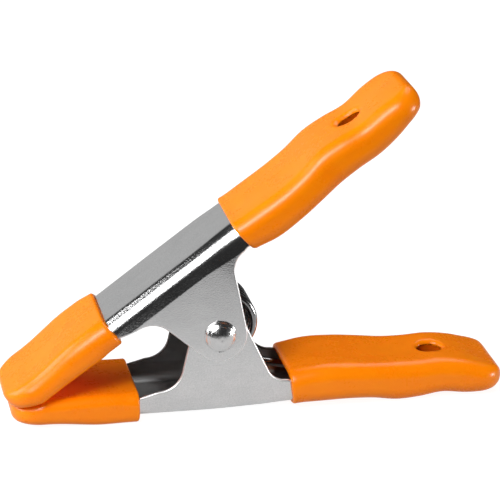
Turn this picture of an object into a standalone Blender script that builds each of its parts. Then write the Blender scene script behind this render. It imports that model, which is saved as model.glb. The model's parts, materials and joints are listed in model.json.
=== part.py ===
"""A spring clamp: two pressed steel levers on a rivet, a coil spring, and soft sleeves.

The two levers are one pressing. The lower one is the upper one turned over, and the two
stand a sheet's thickness apart sideways, so that each lever has one ear outside the other's.
Everything on a lever is drawn in the lever's own frame:

    x  along the lever from the rivet, towards the handle
    y  across the lever
    z  out from the rivet, towards the lever's web

The clamp lies on the soft sleeves of its lower lever, with its jaws shut.
"""

import math
from typing import NamedTuple

import bmesh
import bpy
from mathutils import Matrix, Vector

MM = 0.001

# Driving dimensions: the pressed steel levers
SHEET = 1.4 * MM                    # thickness of the steel
CHANNEL_WIDTH = 28.8 * MM           # outside width of the channel
BEND_RADIUS = 5.0 * MM              # outside radius of the channel's bends
WEB_DEPTH = 25.9 * MM               # rivet's axis to the web's outer face
WEB_BOW = 1.1 * MM                  # how far the web bows out between the two sleeves
BOW_AT = 16.0 * MM                  # rivet's axis to the top of the bow
BOW_FADE = 13.0 * MM                # length over which the bow dies away towards the handle
FLANGE_HEIGHT = 6.8 * MM            # web's outer face to the edge of a flange
JAW_REACH = 63.8 * MM               # rivet's axis to the steel's jaw end
HANDLE_REACH = 93.0 * MM            # rivet's axis to the steel's handle end
NOSE_CORNER = 6.5 * MM              # rounding of the jaw end, seen from above
TAIL_CORNER = 4.7 * MM              # rounding of the handle end, seen from above
JAW_ANGLE = math.radians(34.3)      # between the two levers with the jaws shut

# Driving dimensions: the ears that the rivet goes through
EAR_RADIUS = 9.0 * MM               # round end of an ear
EAR_GAP = 0.3 * MM                  # between two ears that slide on each other
EAR_LEAN_JAW = math.radians(13.5)   # lean of the ear's edge towards the jaw
EAR_LEAN_HANDLE = math.radians(24)  # lean of the ear's edge towards the handle
EAR_FILLET_JAW = 8.0 * MM           # where the ear's edge runs into the flange
EAR_FILLET_HANDLE = 7.0 * MM

# Driving dimensions: the rivet
RIVET_RADIUS = 3.8 * MM             # shank
RIVET_CLEARANCE = 0.3 * MM          # between the shank and the ears' holes, and under a head
RIVET_COLLAR_RADIUS = 5.2 * MM      # the flat ring at the foot of a head
RIVET_COLLAR = 0.8 * MM             # its thickness
RIVET_DOME_RADIUS = 4.3 * MM        # the button on the ring
RIVET_DOME = 2.2 * MM               # its height above the ring

# Driving dimensions: the spring
WIRE = 2.7 * MM                     # diameter of the wire
COIL_RADIUS = 9.3 * MM              # middle of the coil to the middle of its wire
COIL_CURLS = 5                      # whole curls, before the part curl between the legs
COIL_GAP = 0.6 * MM                 # between one curl and the next
COIL_SEAT = 0.3 * MM                # between the coil and the shank it bears on
LEG_REACH = 27.0 * MM               # rivet's axis to the end of a leg, along the lever
LEG_TOE = 11.0 * MM                 # straight end of a leg
LEG_SLOPE = math.radians(14)        # slope of that end towards the web
LEG_BEND = 7.0 * MM                 # radius of the bend before it
LEG_SEAT = 0.3 * MM                 # between the leg's end and the web it pushes
POINTS_PER_CURL = 10

# Driving dimensions: the soft sleeves
SLEEVE_GAP = 0.3 * MM               # between the steel and a sleeve
EDGE_GAP = 1.6 * MM                 # between a flange's edge and a sleeve's hollow
MOUTH_EDGE_GAP = 0.8 * MM           # the same at a jaw sleeve's mouth
SLEEVE_LIP = 0.5 * MM               # rounding of a sleeve's mouth
JAW_WALL = 2.0 * MM                 # wall of a jaw sleeve
JAW_TIP_WALL = 3.2 * MM             # wall at a jaw sleeve's end
JAW_MOUTH = 26.6 * MM               # rivet's axis to a jaw sleeve's mouth
JAW_HEIGHT = 8.0 * MM               # web's outer face to a jaw sleeve's inner face
JAW_OUTER_ROUND = 5.2 * MM          # rounding along a jaw sleeve's outer side
JAW_INNER_ROUND = 3.5 * MM          # rounding along its inner side
JAW_HOLLOW_ROUND = 0.9 * MM         # the same corners in its hollow
JAW_EDGE_ROUND = 1.8 * MM           # rounding of a jaw sleeve's end, seen from the side
PAD_GAP = 0.3 * MM                  # between the two jaw sleeves where they meet
NOSE_AIR = 0.8 * MM                 # between the steel's nose and the sleeve's inner wall
NOSE_FLANGE = 0.3 * MM              # a flange still stands this far inside the web there
NOSE_TAPER = 20.0 * MM              # length over which the web draws in towards the nose
GRIP_WALL = 1.6 * MM                # wall of a handle grip
GRIP_MOUTH = 24.4 * MM              # rivet's axis to a grip's mouth
GRIP_HEIGHT = 10.0 * MM             # web's outer face to a grip's inner face at its mouth
GRIP_OUTER_ROUND = 4.8 * MM         # rounding along a grip's outer side
GRIP_INNER_ROUND = 5.0 * MM         # rounding along its inner side
GRIP_HOLLOW_ROUND = 1.8 * MM        # the same corners in its hollow
GRIP_TIP_WALL = 3.4 * MM            # wall at a grip's far end
GRIP_EDGE_ROUND = 3.0 * MM          # rounding of a grip's far end, seen from the side
HANG_HOLE_AT = 74.2 * MM            # rivet's axis to the middle of the hole in a handle
HANG_HOLE_RADIUS = 4.4 * MM
HANG_HOLE_GAP = 0.6 * MM            # the hole in the steel is this much wider all round


class GripRow(NamedTuple):
    """How far a handle's outline stands out from a plain straight channel, at one place."""

    share: float    # of the grip's length, from its mouth
    web: float      # the web, outwards
    side: float     # each side, outwards
    inner: float    # the inner face towards the web, as a share of the grip's height


# The handle swells and narrows along the grip
GRIP_SHAPE = (
    GripRow(0.00, 0.0 * MM, -0.5 * MM, 0.04),
    GripRow(0.14, 0.0 * MM, -0.1 * MM, -0.08),
    GripRow(0.27, 0.1 * MM, 0.0 * MM, -0.05),
    GripRow(0.38, 0.8 * MM, -0.4 * MM, 0.03),
    GripRow(0.49, 2.3 * MM, -1.0 * MM, 0.11),
    GripRow(0.60, 2.1 * MM, -1.1 * MM, 0.14),
    GripRow(0.71, 1.3 * MM, -1.3 * MM, 0.12),
    GripRow(0.82, 2.1 * MM, -0.9 * MM, 0.24),
    GripRow(0.91, 2.1 * MM, -0.6 * MM, 0.43),
    GripRow(1.00, 1.6 * MM, -0.6 * MM, 0.64),
)

# Where the rounded corners' rings stand, in radii from the end that they round
CORNER_RINGS = (1, 0.5, 0.2, 0.05, 0)

# Worked out from the sizes above
SIDE_STEP = (SHEET + EAR_GAP) / 2
EDGE_DEPTH = WEB_DEPTH - FLANGE_HEIGHT
JAW_DEPTH = WEB_DEPTH - JAW_HEIGHT
GRIP_DEPTH = WEB_DEPTH - GRIP_HEIGHT
GRIP_END = HANDLE_REACH + SLEEVE_GAP + GRIP_TIP_WALL
BLANK_DEPTH = -EAR_RADIUS - 2 * MM
OVERCUT = 5 * MM


# %% Small helpers


def clear_scene():
    """Remove whatever the file holds, so that the script can be run again."""
    for old in list(bpy.data.objects):
        bpy.data.objects.remove(old, do_unlink=True)
    for old in list(bpy.data.collections):
        bpy.data.collections.remove(old)


def new_collection(name):
    """A collection under the scene's own."""
    collection = bpy.data.collections.new(name)
    bpy.context.scene.collection.children.link(collection)
    return collection


def material(name, colour, roughness, metallic):
    """A plain finish."""
    made = bpy.data.materials.new(name)
    made.use_nodes = True
    shader = made.node_tree.nodes["Principled BSDF"]
    shader.inputs["Base Color"].default_value = (*colour, 1)
    shader.inputs["Roughness"].default_value = roughness
    shader.inputs["Metallic"].default_value = metallic
    made.diffuse_color = (*colour, 1)
    return made


def smooth_step(low, high, value):
    """0 below low, 1 above high, and an S curve between them."""
    share = min(max((value - low) / (high - low), 0), 1)
    return share * share * (3 - 2 * share)


def smooth_through(rows, column, share):
    """Read one column of a table at a share of its length, along a smooth curve."""
    share = min(max(share, rows[0].share), rows[-1].share)
    after = next(i for i, row in enumerate(rows) if row.share >= share and i > 0)
    before = after - 1

    def slope(i):
        low = rows[max(i - 1, 0)]
        high = rows[min(i + 1, len(rows) - 1)]
        return (getattr(high, column) - getattr(low, column)) / (high.share - low.share)

    span = rows[after].share - rows[before].share
    t = (share - rows[before].share) / span
    start = getattr(rows[before], column)
    end = getattr(rows[after], column)
    return (
        start * (2 * t**3 - 3 * t**2 + 1)
        + end * (3 * t**2 - 2 * t**3)
        + slope(before) * span * (t**3 - 2 * t**2 + t)
        + slope(after) * span * (t**3 - t**2)
    )


def corner_inset(radius, to_end):
    """How far a rounded corner has drawn in, at a distance from the end it rounds."""
    if to_end >= radius:
        return 0.0
    reach = radius - max(to_end, 0)
    return radius - math.sqrt(radius * radius - reach * reach)


def new_object(name, mesh, collection):
    """An object for a mesh, in a collection."""
    made = bpy.data.objects.new(name, mesh)
    collection.objects.link(made)
    return made


def mesh_from(bm, name):
    """Close a bmesh into a mesh whose faces point outwards."""
    bmesh.ops.recalc_face_normals(bm, faces=bm.faces)
    mesh = bpy.data.meshes.new(name)
    bm.to_mesh(mesh)
    bm.free()
    return mesh


def shade(mesh, angle=40):
    """Smooth shading, with edges kept sharp above an angle in degrees."""
    mesh.shade_smooth()
    mesh.set_sharp_from_angle(angle=math.radians(angle))


def evaluated_mesh(source):
    """The mesh of an object with its modifiers applied."""
    graph = bpy.context.evaluated_depsgraph_get()
    return bpy.data.meshes.new_from_object(source.evaluated_get(graph), depsgraph=graph)


def cut(target, cutter, operation="DIFFERENCE"):
    """Cut a target by another solid, or keep only what the two share."""
    step = target.modifiers.new(cutter.name, "BOOLEAN")
    step.operation = operation
    step.solver = "EXACT"
    step.object = cutter


def as_cutter(tool):
    """Show a cutting shape as wire only, and keep it out of renders."""
    tool.hide_render = True
    tool.display_type = "WIRE"
    return tool


# %% The lever's sizes, as functions of the distance along it


def pad_depth(reach):
    """Depth of the plane halfway between the levers, at a distance towards the jaw."""
    return reach * math.tan(JAW_ANGLE / 2) + PAD_GAP / 2 / math.cos(JAW_ANGLE / 2)


def grip_share(x):
    """Where x lies along a grip, from 0 at its mouth to 1 at its end."""
    return (x - GRIP_MOUTH) / (GRIP_END - GRIP_MOUTH)


def plain_half_width(x):
    """Half the channel's outside width, before its ends are rounded."""
    side = smooth_through(GRIP_SHAPE, "side", grip_share(x))
    return CHANNEL_WIDTH / 2 + side * smooth_step(GRIP_MOUTH / 2, GRIP_MOUTH, x)


def half_width(x):
    """Half the channel's outside width."""
    nose = corner_inset(NOSE_CORNER, JAW_REACH + x)
    tail = corner_inset(TAIL_CORNER, HANDLE_REACH - x)
    return plain_half_width(x) - nose - tail


def web_bow(x):
    """How far the web bows out, from nothing at the jaw sleeve's mouth."""
    rise = min(max((x + JAW_MOUTH) / (BOW_AT + JAW_MOUTH), 0), 1)
    return WEB_BOW * rise * (1 - smooth_step(BOW_AT, BOW_AT + BOW_FADE, x))


def web_depth(x):
    """Depth of the web's outer face."""
    if x >= 0:
        return WEB_DEPTH + web_bow(x) + smooth_through(GRIP_SHAPE, "web", grip_share(x))
    nose_depth = inner_depth(-JAW_REACH) + JAW_WALL + NOSE_AIR + SHEET
    drawn_in = smooth_step(0, NOSE_TAPER, -x - (JAW_REACH - NOSE_CORNER - NOSE_TAPER))
    return WEB_DEPTH + web_bow(x) + (nose_depth - WEB_DEPTH) * drawn_in


def inner_depth(x):
    """Depth of the inner face of whichever sleeve covers the lever here."""
    if x >= 0:
        return GRIP_DEPTH + GRIP_HEIGHT * smooth_through(GRIP_SHAPE, "inner", grip_share(x))
    return max(JAW_DEPTH, pad_depth(-x))


def covered_edge_depth(x, wall):
    """Depth of a flange's edge inside a sleeve."""
    return min(inner_depth(x) + wall + EDGE_GAP, web_depth(x) - SHEET - NOSE_FLANGE)


# %% The levers


def channel_blank(collection):
    """A U channel along the whole lever, with flanges deep enough for the ears."""
    nose = [-JAW_REACH + NOSE_CORNER * share for share in reversed(CORNER_RINGS)]
    taper = [-JAW_REACH + NOSE_CORNER + NOSE_TAPER * share for share in (0.3, 0.65, 1)]
    middle = [-JAW_MOUTH, BOW_AT / 2, BOW_AT, (BOW_AT + GRIP_MOUTH) / 2, GRIP_MOUTH]
    covered = HANDLE_REACH - TAIL_CORNER - GRIP_MOUTH
    handle = [GRIP_MOUTH + covered * (step + 1) / 14 for step in range(13)]
    tail = [HANDLE_REACH - TAIL_CORNER * share for share in CORNER_RINGS]
    bm = bmesh.new()
    rows = []
    for x in nose + taper + middle + handle + tail:
        rows.append([bm.verts.new((x, y, z)) for y, z in channel_section(x)])
    for before, after in zip(rows, rows[1:]):
        for i in range(len(before) - 1):
            bm.faces.new((before[i], before[i + 1], after[i + 1], after[i]))
    blank = new_object("lever_blank", mesh_from(bm, "lever_blank"), collection)
    thick = blank.modifiers.new("sheet", "SOLIDIFY")
    thick.thickness = SHEET
    thick.offset = -1 if outward_is_up(blank.data) else 1
    thick.use_even_offset = True
    return blank


def channel_section(x, steps=4):
    """The channel's outer line across the lever, from one flange round to the other."""
    half = half_width(x)
    web = web_depth(x)
    line = [(half, BLANK_DEPTH)]
    for i in range(steps + 1):
        turn = math.pi / 2 * i / steps
        y = half - BEND_RADIUS * (1 - math.cos(turn))
        z = web - BEND_RADIUS * (1 - math.sin(turn))
        line.append((y, z))
    return line + [(-y, z) for y, z in reversed(line)]


def outward_is_up(mesh):
    """Whether the web's faces point away from the rivet."""
    top = max(mesh.polygons, key=lambda face: face.center.z)
    return top.normal.z > 0


def fillet(corner, along_a, along_b, radius, steps=6):
    """Points of an arc that rounds a corner, from the side of a to the side of b."""
    a = along_a.normalized()
    b = along_b.normalized()
    half_turn = a.angle(b) / 2
    centre = corner + (a + b).normalized() * (radius / math.sin(half_turn))
    start = corner + a * (radius / math.tan(half_turn)) - centre
    end = corner + b * (radius / math.tan(half_turn)) - centre
    sweep = start.angle_signed(end)
    return [centre + Matrix.Rotation(-sweep * i / steps, 2) @ start for i in range(steps + 1)]


def ear_outline(steps=14):
    """The edge of a flange through the ear: fillet, straight, round end, straight, fillet."""
    jaw_edge = Vector((-math.sin(EAR_LEAN_JAW), math.cos(EAR_LEAN_JAW)))
    handle_edge = Vector((math.sin(EAR_LEAN_HANDLE), math.cos(EAR_LEAN_HANDLE)))
    jaw_touch = Vector((-math.cos(EAR_LEAN_JAW), -math.sin(EAR_LEAN_JAW))) * EAR_RADIUS
    handle_touch = Vector((math.cos(EAR_LEAN_HANDLE), -math.sin(EAR_LEAN_HANDLE))) * EAR_RADIUS
    jaw_corner = jaw_touch + jaw_edge * ((EDGE_DEPTH - jaw_touch.y) / jaw_edge.y)
    handle_corner = handle_touch + handle_edge * ((EDGE_DEPTH - handle_touch.y) / handle_edge.y)
    to_jaw = Vector((-1, 0))
    to_handle = Vector((1, 0))
    first = math.pi + EAR_LEAN_JAW
    last = 2 * math.pi - EAR_LEAN_HANDLE
    turns = [first + (last - first) * i / steps for i in range(steps + 1)]
    lobe = [Vector((math.cos(turn), math.sin(turn))) * EAR_RADIUS for turn in turns]
    jaw_fillet = fillet(jaw_corner, to_jaw, -jaw_edge, EAR_FILLET_JAW)
    handle_fillet = fillet(handle_corner, -handle_edge, to_handle, EAR_FILLET_HANDLE)
    return jaw_fillet + lobe + handle_fillet


def side_outline():
    """The lever seen from the side: its flanges' edge, then back outside the web."""
    past_nose = -JAW_REACH - OVERCUT
    past_tail = HANDLE_REACH + OVERCUT
    nose_steps = [-JAW_REACH + (JAW_REACH - JAW_MOUTH) * i / 8 for i in range(8)]
    jaw = [Vector((x, covered_edge_depth(x, JAW_WALL))) for x in nose_steps]
    jaw.append(Vector((-JAW_MOUTH, JAW_DEPTH + JAW_WALL + MOUTH_EDGE_GAP)))
    tail_steps = [GRIP_MOUTH + (HANDLE_REACH - GRIP_MOUTH) * i / 14 for i in range(15)]
    handle = [Vector((x, covered_edge_depth(x, GRIP_WALL))) for x in tail_steps]
    outside = WEB_DEPTH + OVERCUT
    ends = [Vector((past_tail, outside)), Vector((past_nose, outside))]
    start = [Vector((past_nose, jaw[0].y))]
    stop = [Vector((past_tail, handle[-1].y))]
    return start + jaw + ear_outline() + handle + stop + ends


def outline_prism(collection):
    """The side outline as a solid that runs right across the lever."""
    curve = bpy.data.curves.new("lever_outline", "CURVE")
    curve.dimensions = "2D"
    curve.fill_mode = "BOTH"
    curve.extrude = CHANNEL_WIDTH
    points = side_outline()
    spline = curve.splines.new("POLY")
    spline.points.add(len(points) - 1)
    for spot, point in zip(spline.points, points):
        spot.co = (point.x, point.y, 0, 1)
    spline.use_cyclic_u = True
    flat = new_object("lever_outline", curve, collection)
    flat.rotation_euler.x = math.pi / 2
    bpy.context.view_layer.update()
    mesh = evaluated_mesh(flat)
    bm = bmesh.new()
    bm.from_mesh(mesh)
    bmesh.ops.remove_doubles(bm, verts=bm.verts, dist=0.01 * MM)
    solid = new_object("lever_outline_solid", mesh_from(bm, "lever_outline"), collection)
    solid.matrix_world = flat.matrix_world
    bpy.data.objects.remove(flat)
    return as_cutter(solid)


def cylinder(name, radius, length, collection, sides=32):
    """A cylinder along its own z axis, about its middle."""
    bm = bmesh.new()
    bmesh.ops.create_cone(
        bm, cap_ends=True, segments=sides, radius1=radius, radius2=radius, depth=length
    )
    return as_cutter(new_object(name, mesh_from(bm, name), collection))


def lever_mesh(cutters):
    """The finished pressing, drawn about its own middle."""
    blank = channel_blank(cutters)
    cut(blank, outline_prism(cutters), "INTERSECT")
    across = cylinder("rivet_hole", RIVET_RADIUS + RIVET_CLEARANCE, 2 * CHANNEL_WIDTH, cutters)
    across.rotation_euler.x = math.pi / 2
    cut(blank, across)
    hang = hang_hole("hang_hole_in_steel", HANG_HOLE_RADIUS + HANG_HOLE_GAP, cutters)
    cut(blank, hang)
    bpy.context.view_layer.update()
    mesh = evaluated_mesh(blank)
    mesh.name = "lever"
    as_cutter(blank)
    shade(mesh)
    return mesh


def hang_hole(name, radius, cutters):
    """The round hole through a handle, square to its web."""
    hole = cylinder(name, radius, 4 * CHANNEL_WIDTH, cutters, sides=28)
    hole.location.x = HANG_HOLE_AT
    return hole


# %% The soft sleeves


def round_section(half, outer, inner, outer_round, inner_round, outer_points=5, inner_points=4):
    """A closed rounded rectangle across the lever, as (y, z) pairs."""
    height = outer - inner
    outer_round = min(outer_round, half * 0.9, height * 0.62)
    inner_round = min(inner_round, half * 0.9, height - outer_round - height * 0.04)
    corners = (
        (half, outer, -1, -1, outer_round, 0, outer_points),
        (-half, outer, 1, -1, outer_round, 90, outer_points),
        (-half, inner, 1, 1, inner_round, 180, inner_points),
        (half, inner, -1, 1, inner_round, 270, inner_points),
    )
    points = []
    for y, z, toward_y, toward_z, radius, start, count in corners:
        for i in range(count):
            turn = math.radians(start + 90 * i / (count - 1))
            middle_y = y + toward_y * radius
            middle_z = z + toward_z * radius
            points.append((middle_y + radius * math.cos(turn), middle_z + radius * math.sin(turn)))
    return points


def sleeve_ring(bm, at, shape, inset=0.0):
    """One ring of a sleeve's outside."""
    to_end = abs(shape["end"] - at)
    grow = SLEEVE_GAP + shape["wall"] - inset
    thinner = corner_inset(shape["edge_round"], to_end)
    section = round_section(
        plain_half_width(at) + grow - corner_inset(shape["corner"], to_end),
        web_depth(at) + grow - thinner,
        inner_depth(at) + inset + thinner,
        shape["outer_round"],
        shape["inner_round"],
    )
    return [bm.verts.new((at, y, z)) for y, z in section]


def hollow_ring(bm, at, x, shape):
    """One ring of a sleeve's hollow, round the steel at x."""
    section = round_section(
        half_width(x) + SLEEVE_GAP,
        web_depth(x) + SLEEVE_GAP,
        min(inner_depth(x) + shape["wall"], web_depth(x) - SHEET - NOSE_AIR),
        BEND_RADIUS + SLEEVE_GAP,
        shape["hollow_round"],
    )
    return [bm.verts.new((at, y, z)) for y, z in section]


def sleeve_mesh(name, shape, straight, rounded):
    """A soft sleeve: rings from its mouth to its rounded end, and back inside to the mouth.

    Its rings stand at distances along the steel inside it: first where the steel is
    straight, then where the steel's corners are rounded.
    """
    mouth = shape["mouth"]
    end = shape["end"]
    onward = 1 if end > mouth else -1
    bm = bmesh.new()
    outside = [sleeve_ring(bm, mouth, shape, SLEEVE_LIP)]
    outside.append(sleeve_ring(bm, mouth + onward * SLEEVE_LIP, shape))
    corner_starts = end - onward * shape["corner"]
    for x in straight + rounded:
        if (corner_starts - x) * onward > 0:
            outside.append(sleeve_ring(bm, x, shape))
    for degrees in (90, 66, 48, 33, 20, 9, 0):
        at = end - onward * shape["corner"] * (1 - math.cos(math.radians(degrees)))
        outside.append(sleeve_ring(bm, at, shape))
    inside = [hollow_ring(bm, mouth, mouth, shape)]
    for x in straight:
        inside.append(hollow_ring(bm, x, x, shape))
    for x in rounded:
        inside.append(hollow_ring(bm, x + onward * SLEEVE_GAP, x, shape))
    rings = list(reversed(inside)) + outside
    for before, after in zip(rings, rings[1:]):
        for i in range(len(before)):
            follow = (i + 1) % len(before)
            bm.faces.new((before[i], before[follow], after[follow], after[i]))
    bm.faces.new(inside[-1])
    bm.faces.new(outside[-1])
    mesh = mesh_from(bm, name)
    shade(mesh)
    return mesh


def jaw_sleeve_mesh():
    """The sleeve on a jaw: flat inside at its end, where it meets the other jaw."""
    shape = {
        "mouth": -JAW_MOUTH,
        "end": -JAW_REACH - SLEEVE_GAP - JAW_TIP_WALL,
        "wall": JAW_WALL,
        "corner": NOSE_CORNER + SLEEVE_GAP + JAW_TIP_WALL,
        "edge_round": JAW_EDGE_ROUND,
        "outer_round": JAW_OUTER_ROUND,
        "inner_round": JAW_INNER_ROUND,
        "hollow_round": JAW_HOLLOW_ROUND,
    }
    covered = JAW_REACH - NOSE_CORNER - JAW_MOUTH
    along = [-JAW_MOUTH - covered * (step + 1) / 8 for step in range(8)]
    nose = [-JAW_REACH + NOSE_CORNER * share for share in CORNER_RINGS[1:]]
    return sleeve_mesh("jaw_sleeve", shape, along, nose)


def grip_mesh(cutters):
    """The grip on a handle, with the hole to hang the clamp up by."""
    shape = {
        "mouth": GRIP_MOUTH,
        "end": GRIP_END,
        "wall": GRIP_WALL,
        "corner": TAIL_CORNER + SLEEVE_GAP + GRIP_TIP_WALL,
        "edge_round": GRIP_EDGE_ROUND,
        "outer_round": GRIP_OUTER_ROUND,
        "inner_round": GRIP_INNER_ROUND,
        "hollow_round": GRIP_HOLLOW_ROUND,
    }
    covered = HANDLE_REACH - TAIL_CORNER - GRIP_MOUTH
    along = [GRIP_MOUTH + covered * (step + 1) / 14 for step in range(14)]
    tail = [HANDLE_REACH - TAIL_CORNER * share for share in CORNER_RINGS[1:]]
    mesh = sleeve_mesh("grip", shape, along, tail)
    blank = as_cutter(new_object("grip_blank", mesh, cutters))
    cut(blank, hang_hole("hang_hole_in_grip", HANG_HOLE_RADIUS, cutters))
    bpy.context.view_layer.update()
    drilled = evaluated_mesh(blank)
    drilled.name = "grip_drilled"
    shade(drilled)
    return drilled


# %% The rivet


def rivet_profile():
    """Half the rivet's section as (radius, height), from one head's top to the other's."""
    seat = CHANNEL_WIDTH / 2 + SIDE_STEP + RIVET_CLEARANCE
    edge = 0.25 * MM
    shoulder = seat + RIVET_COLLAR
    top = shoulder + RIVET_DOME
    crown = 0.9 * MM
    head = [(0, top)]
    for degrees in (35, 70):
        turn = math.radians(degrees)
        out = (RIVET_DOME_RADIUS - crown) * math.sin(turn) / math.sin(math.radians(70))
        head.append((out, top - crown * 0.3 * (1 - math.cos(turn))))
    for degrees in (30, 60, 90):
        turn = math.radians(degrees)
        out = RIVET_DOME_RADIUS - crown * (1 - math.sin(turn))
        head.append((out, top - crown * 0.2 - crown * (1 - math.cos(turn))))
    head.append((RIVET_DOME_RADIUS, shoulder))
    head.append((RIVET_COLLAR_RADIUS - edge, shoulder))
    head.append((RIVET_COLLAR_RADIUS, shoulder - edge))
    head.append((RIVET_COLLAR_RADIUS, seat))
    head.append((RIVET_RADIUS, seat))
    return head + [(radius, -height) for radius, height in reversed(head)]


def make_rivet(collection, finish, parent):
    """The pivot, headed over at both ends."""
    profile = rivet_profile()
    mesh = bpy.data.meshes.new("pivot_rivet")
    edges = [(i, i + 1) for i in range(len(profile) - 1)]
    mesh.from_pydata([(radius, 0, height) for radius, height in profile], edges, [])
    rivet = new_object("pivot_rivet", mesh, collection)
    turned = rivet.modifiers.new("turned", "SCREW")
    turned.angle = 2 * math.pi
    turned.steps = 32
    turned.render_steps = 32
    turned.use_merge_vertices = True
    turned.merge_threshold = 0.01 * MM
    turned.use_normal_calculate = True
    rivet.rotation_euler.x = math.pi / 2
    rivet.parent = parent
    rivet.data.materials.append(finish)
    return rivet


# %% The spring


def coil_centre():
    """The coil bears on the shank, so it stands off towards the handles, midway between.

    A curl is made of straight runs, whose middles lie a little inside its circle.
    """
    inside = COIL_RADIUS * math.cos(math.pi / POINTS_PER_CURL) - WIRE / 2
    off = inside - RIVET_RADIUS - COIL_SEAT
    bisector = JAW_ANGLE / 2
    return Vector((math.cos(bisector), math.sin(bisector))) * off


def lower_leg_points(steps=4):
    """The lower leg in the plane of a curl: from its end, through its bend, to the coil."""
    toe = Vector((math.cos(LEG_SLOPE), -math.sin(LEG_SLOPE)))
    floor = -WEB_DEPTH + SHEET + LEG_SEAT + WIRE / 2 / math.cos(LEG_SLOPE)
    end = Vector((LEG_REACH, floor))
    knee = end - toe * LEG_TOE
    bend_centre = knee + Vector((-toe.y, toe.x)) * LEG_BEND
    # The leg's upper run touches the bend's circle and the coil's circle from the same side.
    to_bend = bend_centre - coil_centre()
    lean = math.atan2(to_bend.y, to_bend.x)
    lean -= math.asin((LEG_BEND - COIL_RADIUS) / to_bend.length)
    lean_down = min(lean, -LEG_SLOPE)
    side = Vector((math.sin(lean_down), -math.cos(lean_down)))
    points = [end, end - toe * WIRE]
    start_turn = math.atan2(-toe.x, toe.y)
    stop_turn = math.atan2(side.y, side.x)
    for i in range(steps + 1):
        turn = start_turn + (stop_turn - start_turn) * i / steps
        points.append(bend_centre + Vector((math.cos(turn), math.sin(turn))) * LEG_BEND)
    return points, stop_turn


def spring_route():
    """Points along the wire, from the upper leg's end round the coil to the lower leg's."""
    leg, leave = lower_leg_points()
    centre = coil_centre()
    leave %= 2 * math.pi
    arrive = (JAW_ANGLE - leave) % (2 * math.pi)
    sweep = 2 * math.pi * COIL_CURLS + (leave - arrive) % (2 * math.pi)
    pitch = WIRE + COIL_GAP
    length = pitch * sweep / (2 * math.pi)
    count = math.ceil(sweep / (2 * math.pi) * POINTS_PER_CURL)
    mirror = Matrix.Rotation(JAW_ANGLE, 2)
    route = []
    for point in leg:
        flipped = mirror @ Vector((point.x, -point.y))
        route.append(Vector((flipped.x, -length / 2, flipped.y)))
    for i in range(count + 1):
        turn = arrive + sweep * i / count
        x = centre.x + COIL_RADIUS * math.cos(turn)
        z = centre.y + COIL_RADIUS * math.sin(turn)
        route.append(Vector((x, length * (i / count - 0.5), z)))
    for point in reversed(leg):
        route.append(Vector((point.x, length / 2, point.y)))
    return route


def least_gap(route, apart):
    """The least gap of the wire to itself, between points further along than apart."""
    finer = []
    for a, b in zip(route, route[1:]):
        finer += [a.lerp(b, i / 4) for i in range(4)]
    gap = math.inf
    for i, point in enumerate(finer):
        for other in finer[i + apart * 4:]:
            gap = min(gap, (point - other).length)
    return gap - WIRE


def make_spring(collection, finish, parent):
    """The torsion spring: one unbroken wire, whose legs push the handles apart."""
    route = spring_route()
    curve = bpy.data.curves.new("torsion_spring", "CURVE")
    curve.dimensions = "3D"
    curve.bevel_depth = WIRE / 2
    curve.bevel_resolution = 1
    curve.use_fill_caps = True
    spline = curve.splines.new("POLY")
    spline.points.add(len(route) - 1)
    for spot, point in zip(spline.points, route):
        spot.co = (*point, 1)
    spring = new_object("torsion_spring", curve, collection)
    spring.parent = parent
    curve.materials.append(finish)
    gap = least_gap(route, POINTS_PER_CURL // 2) / MM
    print(f"torsion_spring: {len(route)} points, least gap to itself {gap:.2f} mm")
    return spring


# %% The clamp


def make_frames(collection):
    """One empty for the clamp and one for each lever, all on the rivet's axis."""
    clamp = new_object("clamp_frame", None, collection)
    upper = new_object("upper_lever_frame", None, collection)
    lower = new_object("lower_lever_frame", None, collection)
    upper.parent = clamp
    lower.parent = clamp
    upper.rotation_euler.y = -JAW_ANGLE
    lower.rotation_euler.x = math.pi
    return clamp, upper, lower


def place_pair(mesh, names, frames, finish, collection):
    """The same piece on the upper and on the lower lever."""
    mesh.materials.clear()
    mesh.materials.append(finish)
    for name, frame in zip(names, frames):
        piece = new_object(name, mesh, collection)
        piece.parent = frame
        piece.location.y = -SIDE_STEP


def stand_on_floor(clamp, pieces):
    """Lay the clamp on its lower sleeves and put the origin under its middle."""
    jaw_foot = -(WEB_DEPTH + SLEEVE_GAP + JAW_WALL)
    swell = max(GRIP_SHAPE, key=lambda row: row.web)
    swell_at = GRIP_MOUTH + (GRIP_END - GRIP_MOUTH) * swell.share
    grip_foot = -(WEB_DEPTH + swell.web + SLEEVE_GAP + GRIP_WALL)
    lie = math.atan2(jaw_foot - grip_foot, swell_at + JAW_MOUTH + SLEEVE_LIP)
    clamp.rotation_euler.y = -lie
    bpy.context.view_layer.update()
    graph = bpy.context.evaluated_depsgraph_get()
    corners = []
    for piece in pieces:
        solid = piece.evaluated_get(graph)
        mesh = solid.to_mesh()
        corners += [solid.matrix_world @ vertex.co for vertex in mesh.vertices]
        solid.to_mesh_clear()
    low = [min(corner[axis] for corner in corners) for axis in range(3)]
    high = [max(corner[axis] for corner in corners) for axis in range(3)]
    clamp.location = (-(low[0] + high[0]) / 2, -(low[1] + high[1]) / 2, -low[2])
    bpy.context.view_layer.update()
    size = [(b - a) / MM for a, b in zip(low, high)]
    print("size: " + " x ".join(f"{side:.1f}" for side in size) + " mm")
    return lie


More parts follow.
